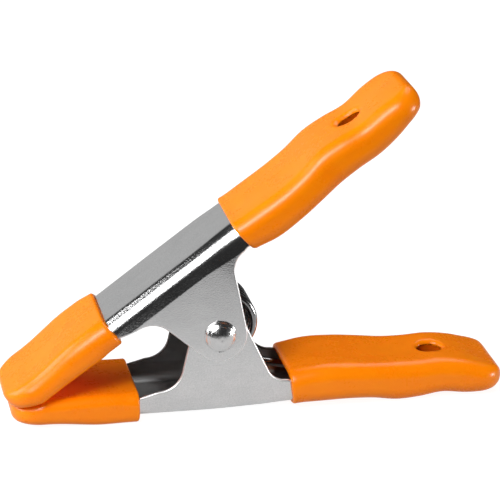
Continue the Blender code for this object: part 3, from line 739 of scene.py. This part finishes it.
def softened(x, y, z, hole):
    """A point of a sleeve's outside, once it is wavy and rolled in at the hole."""
    middle = (web_depth(x) + inner_depth(x)) / 2
    sink = roll_in(x, y, hole) if hole else 0
    z += (WAVINESS * wave((x, y, z)) - sink) * (1 if z > middle else -1)
    y += SIDE_WAVINESS * wave((x, z, y))
    return x, y, z


print(f"the outside waves by up to {WAVINESS} mm, and a hole's rim sinks {HOLE_ROLL} mm")

# %% Loft a whole sleeve
LEAST_RING_STEP = 0.02
HOLE_REACH, HOLE_RINGS, HOLE_RING_STEP = 6.4, 33, 0.4


def sleeve_places(form, hole, steps=44):
    """Where a sleeve's outer rings stand: closer together at the hole and at the end."""
    onward = 1 if form["end"] > form["mouth"] else -1
    reach = abs(form["end"] - form["mouth"])
    corner = form["corner"]
    marks = [LIP + (reach - corner - LIP) * i / steps for i in range(steps + 1)]
    if hole:
        middle = abs(HANG_HOLE_AT - form["mouth"])
        marks = [mark for mark in marks if abs(mark - middle) > HOLE_REACH]
        marks += [middle - HOLE_REACH + HOLE_RING_STEP * i for i in range(HOLE_RINGS)]
    marks += [reach - corner * (1 - math.cos(math.radians(a))) for a in range(86, -1, -5)]
    ends = [form["mouth"] + onward * mark for mark in sorted(marks)]
    return [x for i, x in enumerate(ends) if i == 0 or abs(x - ends[i - 1]) > LEAST_RING_STEP]


def sleeve(name, form, slant, hole=None, steps=30):
    """The mesh of a soft sleeve."""
    onward = 1 if form["end"] > form["mouth"] else -1
    tip_wall = GRIP_TIP_WALL if onward > 0 else JAW_TIP_WALL
    steel_end = form["end"] - onward * (SLEEVE_GAP + tip_wall)
    deep = steel_end - form["mouth"]
    marks = [form["mouth"] + deep * i / steps for i in range(steps, -1, -1)]
    hollow = [[(x, y, z) for y, z in hollow_ring(x, form)] for x in marks]
    outside = lip_rings(form)
    outside += [[(x, y, z) for y, z in outside_ring(x, form)] for x in sleeve_places(form, hole)]
    outside = [[softened(*point, hole) for point in ring] for ring in outside]
    bm = bmesh.new()
    rows = []
    for ring in hollow + outside:
        rows.append([bm.verts.new((slanted(x, z, form, slant), y, z)) for x, y, z in ring])
    loft(bm, rows, closed=True)
    bm.faces.new(rows[0])
    bm.faces.new(rows[-1])
    return close_mesh(bm, name)


print(f"a jaw sleeve has {len(sleeve_places(JAW, None))} rings outside")

# %% Line a hanging hole
HOLE_SIDES = 72
TUNNEL_WALL, TUNNEL_TOP, TUNNEL_FOOT = 0.6, 1.2, 4.2
TUNNEL = ((0, TUNNEL_TOP), (0, TUNNEL_FOOT), (TUNNEL_WALL, TUNNEL_FOOT), (TUNNEL_WALL, TUNNEL_TOP))


def line_hole(mesh, hole):
    """Add the short vinyl tunnel that lines each side of a hanging hole."""
    bm = bmesh.new()
    bm.from_mesh(mesh)
    for back in (True, False):
        rows = []
        for wall, sunk in TUNNEL:
            row = []
            for k in range(HOLE_SIDES):
                turn = 2 * math.pi * k / HOLE_SIDES
                x = HANG_HOLE_AT + (hole[0] + wall) * math.cos(turn)
                y = (hole[1] + wall) * math.sin(turn)
                z = web_depth(x) + SLEEVE_GAP + GRIP_WALL - sunk if back else inner_depth(x) + sunk
                row.append(bm.verts.new(Vector((x, y, z)) * MM))
            rows.append(row)
        loft(bm, rows + rows[:1], closed=True)
    bmesh.ops.recalc_face_normals(bm, faces=bm.faces)
    for face in bm.faces:
        face.smooth = True
    bm.to_mesh(mesh)
    bm.free()


print(f"a hole is lined from {TUNNEL_TOP} to {TUNNEL_FOOT} mm below each face")

# %% Mould the sleeves and punch the grips
GRIP_PUNCH_LENGTH = 120
HOLE_SHADE_SLOT, HOLE_MARGIN, ROLL_ENDS = 1, 0.7, 1.5
JAW_CREASE, GRIP_CREASE = math.radians(60), math.radians(48)


def grip_with_hole(slant, hole):
    """A grip's mesh, with a lined hole of these half widths along and across the grip."""
    blank = new_piece("grip_blank", sleeve("grip_moulded", GRIP, slant, hole))
    place = Matrix.Translation(hang_hole) @ Matrix.Diagonal((*hole, 1, 1))
    tool = punch(blank, 1, GRIP_PUNCH_LENGTH, place, HOLE_SIDES)
    bpy.context.view_layer.update()
    mesh = bake_down(blank, "grip_skin")
    bpy.data.objects.remove(tool, do_unlink=True)
    line_hole(mesh, hole)
    # Faces deep in the hanging hole get the darker vinyl: painted shade for the shadow inside the hole.
    for face in mesh.polygons:
        x, y, z = face.center / MM
        off = math.hypot((x - HANG_HOLE_AT) / (hole[0] + HOLE_MARGIN), y / (hole[1] + HOLE_MARGIN))
        sunk = min(web_depth(x) + SLEEVE_GAP + GRIP_WALL - z, z - inner_depth(x))
        face.material_index = HOLE_SHADE_SLOT if off < 1 and sunk > ROLL_ENDS else 0
    mesh.set_sharp_from_angle(angle=GRIP_CREASE)
    return mesh


def jaw_skin(slant, outer_round, mouth_round, flare):
    """A jaw sleeve's mesh. No two mouths are alike: each has its own slant, rounding and flare."""
    form = JAW | {"outer_round": outer_round, "mouth_round": mouth_round, "flare": flare}
    mesh = sleeve("jaw_skin", form, slant)
    mesh.set_sharp_from_angle(angle=JAW_CREASE)
    return mesh


jaw_mesh = {
    "upper": jaw_skin(slant=0.8, outer_round=5.2, mouth_round=6.5, flare=-0.4),
    "lower": jaw_skin(slant=0.0, outer_round=3.4, mouth_round=4.4, flare=0.2),
}
grip_mesh = {
    "upper": grip_with_hole(slant=1.2, hole=(4.2, 2.9)),
    "lower": grip_with_hole(slant=-1.0, hole=(4.3, 4.0)),
}
faces = [len(meshes["upper"].polygons) for meshes in (jaw_mesh, grip_mesh)]
print(f"jaw sleeve {faces[0]} faces, grip {faces[1]} faces")

# %% [markdown]
# ## The rivet
#
# The rivet is round, so it is one profile spun about its axis. From the shank the profile
# steps out to a thin collar, slopes up from its rim to a small rounded brow, and rises inside
# the brow to a low dome. A shallow dimple in the middle is left by the tool that set it. The
# same profile does both heads.

# %% Spin the rivet
RIVET_SHANK, RIVET_SEAT_GAP = 3.8, 0.02
RIVET_COLLAR, COLLAR_CHAMFER, COLLAR_RIM = 5.2, 0.12, 0.32
COLLAR_SLOPE, COLLAR_BULGE, SLOPE_STEPS = 1.4, 0.1, 12
RIVET_BROW, RIVET_BROW_HEIGHT, BROW_FOOT = 3.74, 2.22, 0.32
BROW_ROUND, BROW_IN, BROW_DOWN = 0.3, 0.12, 0.28
RIVET_CROWN_HEIGHT, DIMPLE_DEPTH, DIMPLE_WIDTH, CROWN_STEPS = 1.05, 0.1, 0.7, 24
RIVET_CREASE = math.radians(50)


def arc_points(centre, radius, start, stop, steps):
    """Points of an arc as (radius, height), angles in degrees from outwards to upwards."""
    turns = [math.radians(start + (stop - start) * i / steps) for i in range(steps + 1)]
    return [(centre[0] + radius * math.cos(t), centre[1] + radius * math.sin(t)) for t in turns]


def rivet_head():
    """The outline of one head, from the shank to the middle of its top."""
    seat = CHANNEL_WIDTH / 2 + SIDE_STEP + RIVET_SEAT_GAP
    brow = seat + RIVET_BROW_HEIGHT
    points = [(RIVET_SHANK, seat), (RIVET_COLLAR - COLLAR_CHAMFER, seat)]
    points += [(RIVET_COLLAR, seat + COLLAR_CHAMFER), (RIVET_COLLAR + 0.02, seat + COLLAR_RIM)]
    for i in range(1, SLOPE_STEPS + 1):
        share = i / SLOPE_STEPS
        bulge = COLLAR_BULGE * math.sin(math.pi * share)
        across = RIVET_COLLAR + (RIVET_BROW + BROW_FOOT - RIVET_COLLAR) * share
        points.append((across + bulge, seat + COLLAR_RIM + COLLAR_SLOPE * share + bulge))
    points += arc_points((RIVET_BROW - BROW_IN, brow - BROW_DOWN), BROW_ROUND, -15, 61, 7)
    for i in range(CROWN_STEPS + 1):
        share = 1 - i / CROWN_STEPS
        crown = RIVET_CROWN_HEIGHT * (1 - share * share)
        dimple = DIMPLE_DEPTH * math.exp(-((RIVET_BROW * share / DIMPLE_WIDTH) ** 2))
        points.append((RIVET_BROW * share, brow + crown - dimple))
    return points


def spun_rivet(sides=72):
    """The whole rivet along its own z axis."""
    half = rivet_head()
    profile = [(r, -z) for r, z in reversed(half)] + half
    bm = bmesh.new()
    rows = []
    for k in range(sides):
        turn = 2 * math.pi * k / sides
        rows.append([bm.verts.new((r * math.cos(turn), r * math.sin(turn), z)) for r, z in profile])
    loft(bm, rows + rows[:1], closed=False)
    mesh = close_mesh(bm, "rivet_turned")
    mesh.set_sharp_from_angle(angle=RIVET_CREASE)
    return mesh


rivet_mesh = spun_rivet()
print(f"rivet: {len(rivet_mesh.polygons)} faces")

# %% [markdown]
# ## The spring
#
# The spring is one length of hard wire. A thick curve would be the short way, but a curve
# can't bend with a joint, and this spring must wind up as the handles close. So the wire is
# drawn as rings of points along its route: an upper leg, five and a part curls round the
# rivet, and a lower leg. Each ring is carried along without twisting.

# %% The spring's lower leg
WIRE = 2.7
COIL_RADIUS, COIL_CURLS, COIL_PITCH = 9.3, 5, 3.3
COIL_BEARING, COIL_GAP = math.pi / 10, 0.3
LEG_REACH, LEG_TOE, LEG_SLOPE, LEG_BEND = 27.0, 11.0, math.radians(14), 7.0
LEG_GAP, LEG_STEPS = 0.3, 8


def coil_centre():
    """The coil bears on the shank, so it stands off towards the handles."""
    off = COIL_RADIUS * math.cos(COIL_BEARING) - WIRE / 2 - RIVET_SHANK - COIL_GAP
    return Vector((math.cos(JAW_ANGLE / 2), math.sin(JAW_ANGLE / 2))) * off


def lower_leg(steps=16):
    """The lower leg from its end to the coil, and the turn at which it leaves the coil."""
    toe = Vector((math.cos(LEG_SLOPE), -math.sin(LEG_SLOPE)))
    floor = -WEB_DEPTH + SHEET + LEG_GAP + WIRE / 2 / math.cos(LEG_SLOPE)
    end = Vector((LEG_REACH, floor))
    knee = end - toe * LEG_TOE
    bend_centre = knee + Vector((-toe.y, toe.x)) * LEG_BEND
    to_bend = bend_centre - coil_centre()
    lean = math.atan2(to_bend.y, to_bend.x)
    lean = min(lean - math.asin((LEG_BEND - COIL_RADIUS) / to_bend.length), -LEG_SLOPE)
    side = Vector((math.sin(lean), -math.cos(lean)))
    points = [end - toe * LEG_TOE * i / LEG_STEPS for i in range(LEG_STEPS)]
    start_turn = math.atan2(-toe.x, toe.y)
    stop_turn = math.atan2(side.y, side.x)
    for i in range(steps + 1):
        turn = start_turn + (stop_turn - start_turn) * i / steps
        points.append(bend_centre + Vector((math.cos(turn), math.sin(turn))) * LEG_BEND)
    coil_start = coil_centre() + side * COIL_RADIUS
    last = points[-1]
    points += [last.lerp(coil_start, i / LEG_STEPS) for i in range(1, LEG_STEPS)]
    return points, stop_turn % (2 * math.pi)


print(f"a leg is drawn through {len(lower_leg()[0])} points")

# %% The whole wire's route


def wire_route(per_curl=56):
    """Points along the middle of the wire, in the clamp's frame."""
    leg, leave = lower_leg()
    centre = coil_centre()
    arrive = (JAW_ANGLE - leave) % (2 * math.pi)
    sweep = 2 * math.pi * COIL_CURLS + (leave - arrive) % (2 * math.pi)
    length = COIL_PITCH * sweep / (2 * math.pi)
    count = math.ceil(sweep / (2 * math.pi) * per_curl)
    mirror = Matrix.Rotation(JAW_ANGLE, 2)
    route = []
    for point in leg:
        flipped = mirror @ Vector((point.x, -point.y))
        route.append(Vector((flipped.x, -length / 2, flipped.y)))
    for i in range(count + 1):
        turn = arrive + sweep * i / count
        x = centre.x + COIL_RADIUS * math.cos(turn)
        z = centre.y + COIL_RADIUS * math.sin(turn)
        route.append(Vector((x, length * (i / count - 0.5), z)))
    route += [Vector((point.x, length / 2, point.y)) for point in reversed(leg)]
    return route


route = wire_route()
wire_length = sum((a - b).length for a, b in zip(route, route[1:]))
print(f"the wire is {wire_length:.0f} mm long, in {len(route)} points")

# %% Draw the wire round its route
END_ROUND = ((0.0, 0.72), (0.12, 0.93), (0.4, 1.0))
WIRE_CREASE = math.radians(50)


def wire_mesh(name, path, radius, sides=16):
    """A round wire along a path, with its two ends cut square and slightly rounded."""
    bm = bmesh.new()
    ahead = (path[1] - path[0]).normalized()
    out = ahead.orthogonal().normalized()
    places = [(path[0] + ahead * along, share) for along, share in END_ROUND]
    places += [(point, 1.0) for point in path[1:-1]]
    behind = (path[-1] - path[-2]).normalized()
    places += [(path[-1] - behind * along, share) for along, share in reversed(END_ROUND)]
    rings = []
    for k, (point, share) in enumerate(places):
        before = places[max(k - 1, 0)][0]
        after = places[min(k + 1, len(places) - 1)][0]
        tangent = (after - before).normalized()
        out = (out - tangent * out.dot(tangent)).normalized()
        side = tangent.cross(out)
        turns = [2 * math.pi * i / sides for i in range(sides)]
        ring = [point + (out * math.cos(t) + side * math.sin(t)) * radius * share for t in turns]
        rings.append([bm.verts.new(spot) for spot in ring])
    loft(bm, rings, closed=True)
    bm.faces.new(rings[0])
    bm.faces.new(rings[-1])
    mesh = close_mesh(bm, name)
    mesh.set_sharp_from_angle(angle=WIRE_CREASE)
    return mesh


spring_mesh = wire_mesh("spring_wire", route, WIRE / 2)
print(f"spring: {len(spring_mesh.polygons)} faces")

# %% [markdown]
# ## Writing a finish as arithmetic
#
# A finish is a graph of nodes, and a graph is hard to read back. Shader maths reads best as
# maths, so a socket is wrapped in a small class. Adding, multiplying or subtracting wrapped
# sockets adds the Math nodes. Anything else goes through one method that takes the node's
# type, its settings and what feeds its sockets. Grain sizes are given in millimetres, so a
# finish has the same scale on every piece.

# %% A number that changes over a surface


class Signal:
    """A number that changes over a surface: one output of a node."""

    def __init__(self, finish, socket):
        self.finish = finish
        self.socket = socket

    def _math(self, operation, a, b):
        return self.finish.node("Math", {"operation": operation}, {0: a, 1: b})

    def __add__(self, other):
        return self._math("ADD", self, other)

    def __radd__(self, other):
        return self._math("ADD", other, self)

    def __sub__(self, other):
        return self._math("SUBTRACT", self, other)

    def __rsub__(self, other):
        return self._math("SUBTRACT", other, self)

    def __mul__(self, other):
        return self._math("MULTIPLY", self, other)

    def __rmul__(self, other):
        return self._math("MULTIPLY", other, self)


print("sockets can be added, subtracted and multiplied")

# %% A finish, and the nodes it is mixed from


class Finish:
    """A material that is being mixed, or the light of the room."""

    def __init__(self, name, tree=None):
        self.material = None
        if tree is None:
            self.material = bpy.data.materials.new(name)
            self.material.use_nodes = True
            tree = self.material.node_tree
        self.tree = tree
        self.shader = tree.nodes.get("Principled BSDF")

    def plug(self, socket, value):
        """Feed a socket with a signal or set it to a plain value."""
        if isinstance(value, Signal):
            self.tree.links.new(value.socket, socket)
        else:
            socket.default_value = value

    def node(self, kind, settings=None, sockets=None, out=0):
        """Add a node: its type, then its settings, then what goes into its sockets."""
        made = self.tree.nodes.new("ShaderNode" + kind)
        for key, value in (settings or {}).items():
            setattr(made, key, value)
        for key, value in (sockets or {}).items():
            self.plug(made.inputs[key], value)
        return Signal(self, made.outputs[out])

    def set(self, **values):
        """Set the shader's own sockets. Underscores in a name stand for spaces."""
        for name, value in values.items():
            self.plug(self.shader.inputs[name.replace("_", " ")], value)

    def place(self, sizes=(1, 1, 1), lean=0.0):
        """Places in millimetres, divided by a grain size, in a frame that leans with a lever."""
        raw = self.node("TexCoord", out="Object")
        if lean:
            settings = {"rotation_type": "Y_AXIS"}
            raw = self.node("VectorRotate", settings, {"Vector": raw, "Angle": lean})
        scale = tuple(1 / (MM * size) for size in sizes)
        return self.node("VectorMath", {"operation": "MULTIPLY"}, {0: raw, 1: scale})

    def grain(self, sizes, detail, roughness, seed=0.0, lean=0.0):
        """A noise between 0 and 1, with a grain size in millimetres in each direction."""
        aside = (seed, seed * 2, seed * 3)
        where = self.place(sizes, lean)
        moved = self.node("VectorMath", {"operation": "ADD"}, {0: where, 1: aside})
        values = {"Vector": moved, "Scale": 1.0, "Detail": detail, "Roughness": roughness}
        return self.node("TexNoise", sockets=values)

    def between(self, share, low, high):
        """0 below low, 1 above high, and a smooth step between."""
        settings = {"interpolation_type": "SMOOTHSTEP"}
        return self.node("MapRange", settings, {"Value": share, "From Min": low, "From Max": high})

    def mix(self, share, a, b):
        """A colour between two colours."""
        return self.node("Mix", {"data_type": "RGBA"}, {0: share, 6: a, 7: b}, out=2)

    def bump(self, height, strength, distance):
        """A bump for the Normal socket, its depth in millimetres."""
        values = {"Height": height, "Strength": strength, "Distance": distance * MM}
        return self.node("Bump", sockets=values, out="Normal")


print("finishes can be written as sums now")

# %% [markdown]
# ## Plated steel
#
# The levers are zinc plated. Close to, the plating isn't a mirror: it has a fine mottled
# grain, faint lines along the lever where the strip was rolled, and a few cloudy patches. A
# plain metal with one roughness looks like plastic chrome. Here the roughness and the bump
# both carry the grain, so the edges of the reflections break up. A sheared edge has a bright
# half and a torn half, whose near-black colour is partly painted shade for the dark line
# beside the edge. The channel's inside is duller, and its darker colour is painted shade for
# the hollow of the channel. Each of the three has a finish of its own.

# %% Mix the plated steel


def plated_steel(lean):
    """Zinc plate whose rolling lines lean with the lever."""
    finish = Finish("zinc_plate")
    speckle = finish.grain((0.5, 0.45, 0.45), detail=2.5, roughness=0.6)
    cloud = finish.grain((9, 6, 6), detail=3.0, roughness=0.55, seed=3.1)
    rolled = finish.grain((9, 0.5, 0.5), detail=2.0, roughness=0.5, seed=7.7, lean=lean)
    tone = speckle * 0.6 + cloud * 0.3 + rolled * 0.1
    shade = finish.between(tone, 0.32, 0.68)
    finish.set(
        Base_Color=finish.mix(shade, (0.79, 0.792, 0.795, 1), (0.93, 0.93, 0.93, 1)),
        Metallic=1.0,
        Roughness=0.1 + 0.08 * speckle + 0.04 * cloud,
    )
    height = speckle * 0.88 + rolled * 0.12
    finish.set(Normal=finish.bump(height, strength=0.7, distance=0.065))
    return finish.material


steel = {"upper": plated_steel(JAW_ANGLE + lie), "lower": plated_steel(lie)}
print("mixed", steel["upper"].name, "for each lever")

# %% Mix the steel of the edges and of the inside


def cut_steel():
    """The burnished half of a sheared edge: bright, with streaks through the thickness."""
    finish = Finish("sheared_steel")
    streak = finish.grain((0.22, 3.0, 0.22), detail=2.0, roughness=0.6, seed=1.3)
    finish.set(
        Base_Color=finish.mix(streak, (0.82, 0.82, 0.82, 1), (1.0, 1.0, 1.0, 1)),
        Metallic=1.0,
        Roughness=0.42 + 0.16 * streak,
        Normal=finish.bump(streak, strength=0.4, distance=0.04),
    )
    return finish.material


def torn_and_shaded_steel():
    """The torn half of a sheared edge: dull and rough, and near black as painted shade for the dark line beside
    the edge.
    """
    finish = Finish("torn_and_shaded_steel")
    tear = finish.grain((0.3, 0.3, 0.3), detail=3.0, roughness=0.6, seed=2.4)
    finish.set(
        # Near black: partly the dull torn zone, partly painted shade for the edge's dark line.
        Base_Color=finish.mix(tear, (0.05, 0.05, 0.05, 1), (0.22, 0.22, 0.22, 1)),
        Metallic=0.8,
        Roughness=0.5 + 0.2 * tear,
        Normal=finish.bump(tear, strength=0.5, distance=0.05),
    )
    return finish.material


def shaded_inside_steel():
    """The channel's inside: duller, and darker as painted shade in the channel's hollow."""
    finish = Finish("shaded_inside_steel")
    cloud = finish.grain((5, 3, 3), detail=3.0, roughness=0.6, seed=5.2)
    finish.set(
        # The darker grey is painted shade for the hollow of the channel.
        Base_Color=finish.mix(cloud, (0.28, 0.28, 0.282, 1), (0.44, 0.44, 0.44, 1)),
        Metallic=1.0,
        Roughness=0.36 + 0.1 * cloud,
        Normal=finish.bump(cloud, strength=0.2, distance=0.05),
    )
    return finish.material


sheared, torn_and_shaded, inside = cut_steel(), torn_and_shaded_steel(), shaded_inside_steel()
print("mixed", sheared.name, torn_and_shaded.name, "and", inside.name)

# %% [markdown]
# ## The rivet's and the spring's steel
#
# The rivet is bright, with rings left by the tool that spun its head. The rings follow the
# distance from its axis. The spring is hard drawn wire: darker and glossier, with a thin oily
# unevenness.

# %% Mix the rivet steel
RING_RADIANS = 21.0  # in each millimetre from the axis


def rivet_steel():
    """Bright steel with fine rings round the rivet's axis."""
    finish = Finish("rivet_steel")
    axis = tuple(rivet_at / MM)
    off = finish.node("VectorMath", {"operation": "SUBTRACT"}, {0: finish.place(), 1: axis})
    flat = finish.node("VectorMath", {"operation": "MULTIPLY"}, {0: off, 1: (1, 0, 1)})
    radius = finish.node("VectorMath", {"operation": "LENGTH"}, {0: flat}, out="Value")
    rings = finish.node("Math", {"operation": "SINE"}, {0: radius * RING_RADIANS}) * 0.5 + 0.5
    speckle = finish.grain((0.6, 0.6, 0.6), detail=2.0, roughness=0.6, seed=4.0)
    cloud = finish.grain((2.5, 2.5, 2.5), detail=2.0, roughness=0.5, seed=9.0)
    finish.set(
        Base_Color=finish.mix(cloud, (0.72, 0.72, 0.72, 1), (0.96, 0.96, 0.96, 1)),
        Metallic=1.0,
        Roughness=0.15 + 0.1 * speckle,
        Normal=finish.bump(rings * 0.2 + speckle * 0.8, strength=0.7, distance=0.07),
    )
    return finish.material


bright = rivet_steel()
print("mixed", bright.name)

# %% Mix the spring steel


def spring_steel():
    """Hard drawn wire under a thin, uneven film of oil."""
    finish = Finish("spring_steel")
    film = finish.grain((1.6, 1.6, 1.6), detail=3.0, roughness=0.6, seed=2.0)
    fine = finish.grain((0.25, 0.25, 0.25), detail=2.0, roughness=0.6, seed=5.0)
    finish.set(
        Base_Color=finish.mix(film, (0.3, 0.3, 0.305, 1), (0.55, 0.55, 0.55, 1)),
        Metallic=1.0,
        Roughness=0.12 + 0.12 * film,
        Normal=finish.bump(fine, strength=0.3, distance=0.015),
    )
    return finish.material


wire_steel = spring_steel()
print("mixed", wire_steel.name)

# %% [markdown]
# ## Orange vinyl
#
# Dipped vinyl is a soft plastic with colour all through it. Its gloss is broad, not sharp,
# and up close the skin is faintly pebbled with the odd darker cloud where it is thinner. A
# little light travels inside it, which keeps the shaded faces a warm orange. The walls of the
# hanging holes have a redder, darker mix: painted shade for the shadow inside each hole.

# %% Mix the vinyl


def orange_vinyl(name, dark, light):
    """Vinyl whose colour drifts between a dark and a light orange."""
    finish = Finish(name)
    pebble = finish.grain((0.9, 0.9, 0.9), detail=2.0, roughness=0.5)
    cloud = finish.grain((14, 9, 9), detail=3.0, roughness=0.5, seed=6.0)
    fine = finish.grain((0.3, 0.3, 0.3), detail=1.0, roughness=0.5, seed=8.0)
    shade = finish.between(cloud * 0.7 + pebble * 0.3, 0.25, 0.75)
    finish.set(
        Base_Color=finish.mix(shade, dark, light),
        Roughness=0.22 + 0.08 * cloud + 0.04 * pebble,
        Subsurface_Weight=0.12,
        Subsurface_Radius=(1.0, 0.35, 0.1),
        Subsurface_Scale=0.0015,
        Specular_IOR_Level=0.3,
        Normal=finish.bump(pebble * 0.7 + fine * 0.3, strength=0.25, distance=0.04),
    )
    return finish.material


vinyl = orange_vinyl("dipped_vinyl", dark=(0.97, 0.218, 0.0, 1), light=(1.0, 0.25, 0.0, 1))
# A darker, redder vinyl for the hole walls: painted shade, not a different vinyl.
hole_shade_vinyl = orange_vinyl("hole_shade_vinyl", dark=(0.42, 0.06, 0.0, 1), light=(0.56, 0.09, 0.0, 1))
print("mixed", vinyl.name, "and", hole_shade_vinyl.name)

# %% [markdown]
# ## Put the pieces in their places
#
# Each piece stands in the frame of its lever and rides on that lever's body, so that it turns
# with the jaws. The mesh's points are moved into place. The rivet rides with the lower lever.
# The spring is different: its upper leg belongs to one lever and its lower leg to the other,
# so it rides on neither body.

# %% Dress the levers and the sleeves


def dress(name, mesh, matrix, finishes, body, node):
    """Stand a piece in its place, give it its finishes, and let it ride on a body.

    Clearing a mesh's materials also forgets which face uses which, so that is noted first.
    """
    mesh.transform(matrix)
    piece = new_piece(name, mesh)
    slots = [face.material_index for face in mesh.polygons]
    mesh.materials.clear()
    for finish in finishes:
        mesh.materials.append(finish)
    mesh.polygons.foreach_set("material_index", slots)
    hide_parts(node)
    if body:
        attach(piece, body)
    return piece


for which, matrix, body in (
    ("upper", upper_frame, "upper_half"), ("lower", lower_frame, "lower_half"),
):
    name, node = f"{which}_lever_pressing", f"{which}_lever"
    finishes = (steel[which], sheared, torn_and_shaded, inside)
    dress(name, lever_mesh[which], matrix, finishes, body, node)
    name, node = f"{which}_jaw_skin", f"{which}_jaw_sleeve"
    dress(name, jaw_mesh[which], matrix, (vinyl,), body, node)
    name, node = f"{which}_grip_skin", f"{which}_grip"
    dress(name, grip_mesh[which], matrix, (vinyl, hole_shade_vinyl), body, node)
print("levers and sleeves are on")

# %% Set the rivet and the spring
rivet_frame = clamp_frame @ Matrix.Rotation(math.pi / 2, 4, "X")
dress(
    "pivot_rivet_turned", rivet_mesh, rivet_frame, (bright,),
    "lower_half", "pivot_rivet",
)
spring = dress(
    "torsion_spring_wire", spring_mesh, clamp_frame, (wire_steel,),
    None, "torsion_spring",
)
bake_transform(spring)

# %% [markdown]
# ## Floor and light
#
# Steel shows nothing but its surroundings, so the light is planned by where each face
# mirrors to. A soft box high at the front left, with a brighter core, draws the white line
# along the lever's shoulder. The room is dark at the front and high up, which gives the two
# dark lines beside it, and a pale wall low at the back left greys the lever's flat back.
# Three more soft boxes, overhead, at the left and at the right, light the vinyl and the ears.
#
# The floor is a pale table. It is nearly white to the camera but grey to everything else,
# darker towards its front edge, or its glow would wash out the undersides. Beyond it the
# world is white to the camera only.

# %% The pale table
TABLE_RADIUS, TABLE_MIDDLE, TABLE_DROP = 1.6, 1.41, 0.0002
GLOW_FRONT, GLOW_BACK = -165, -35
table_mesh = bpy.data.meshes.new("table")
bm = bmesh.new()
bmesh.ops.create_circle(bm, cap_ends=True, radius=1.0, segments=96)
bmesh.ops.scale(bm, vec=(TABLE_RADIUS, TABLE_RADIUS, 1), verts=bm.verts)
bmesh.ops.translate(bm, vec=(0, TABLE_MIDDLE, 0), verts=bm.verts)
bm.to_mesh(table_mesh)
bm.free()
table = new_piece("table", table_mesh)
pale = Finish("pale_table")
looked_at = pale.node("LightPath", out="Is Camera Ray")
spot = pale.node("SeparateXYZ", sockets={0: pale.place()})
depth = Signal(pale, spot.socket.node.outputs["Y"])
towards_back = pale.between(depth, GLOW_FRONT, GLOW_BACK)
grey = pale.mix(towards_back, (0.11, 0.11, 0.11, 1), (0.36, 0.36, 0.36, 1))
pale.set(
    Base_Color=(0.25, 0.25, 0.25, 1),
    Roughness=0.9,
    Specular_IOR_Level=0.0,
    Emission_Color=pale.mix(looked_at, grey, (1, 1, 1, 1)),
    Emission_Strength=0.93,
)
table_mesh.materials.append(pale.material)
table.location.z = -TABLE_DROP
print("the table is laid")

# %% The soft boxes
AIM_HEIGHT = 0.03
SOFT_BOXES = (  # name, direction, distance and size in metres, power in watts
    ("shoulder_box", (-0.53, -0.5, 0.68), 0.9, (0.6, 0.62), 4.3),
    ("shoulder_core", (-0.51, -0.53, 0.67), 0.88, (0.24, 0.3), 3.6),
    ("overhead_box", (0.3, 0.45, 0.84), 1.0, (0.5, 0.5), 2.2),
    ("left_box", (-0.9, 0.15, 0.4), 1.0, (0.6, 0.6), 6.5),
    ("right_box", (0.93, -0.34, 0.06), 1.1, (0.25, 0.25), 6.0),
)


def soft_box(name, direction, distance, size, power):
    """A rectangular light that faces the clamp from a direction."""
    light = bpy.data.lights.new(name, "AREA")
    light.shape = "RECTANGLE"
    light.size, light.size_y = size
    light.energy = power
    box = bpy.data.objects.new(name, light)
    bpy.context.scene.collection.objects.link(box)
    where = Vector(direction).normalized() * distance
    box.location = where + Vector((0, 0, AIM_HEIGHT))
    box.rotation_euler = where.to_track_quat("Z", "Y").to_euler()


for box in SOFT_BOXES:
    soft_box(*box)
print(f"{len(SOFT_BOXES)} soft boxes are up")

# %% The room
WALL_STARTS, WALL_TOP, WALL_SIDE = (0.45, 0.8), (0.36, 0.5), (-0.12, 0.08)
ROOM_GLOW, WALL_GLOW = 0.02, 0.43
world = bpy.data.worlds.new("room")
bpy.context.scene.world = world
world.use_nodes = True
room = Finish("room", world.node_tree)
towards = room.node("TexCoord", out="Generated")
axes = room.node("SeparateXYZ", sockets={0: towards})
east, north, height = (Signal(room, axes.socket.node.outputs[i]) for i in range(3))
wall = room.between(north, *WALL_STARTS) * (1 - room.between(height, *WALL_TOP))
wall = wall * (1 - room.between(east, *WALL_SIDE))
glow = ROOM_GLOW + WALL_GLOW * wall
grey = room.node("CombineColor", sockets={0: glow, 1: glow, 2: glow})
seen = room.node("LightPath", out="Is Camera Ray")
white = room.mix(seen, grey, (1, 1, 1, 1))
backdrop = world.node_tree.nodes["Background"]
room.plug(backdrop.inputs["Color"], white)
backdrop.inputs["Strength"].default_value = 1.0
bpy.context.scene.view_settings.view_transform = "Standard"
print("the room is lit")
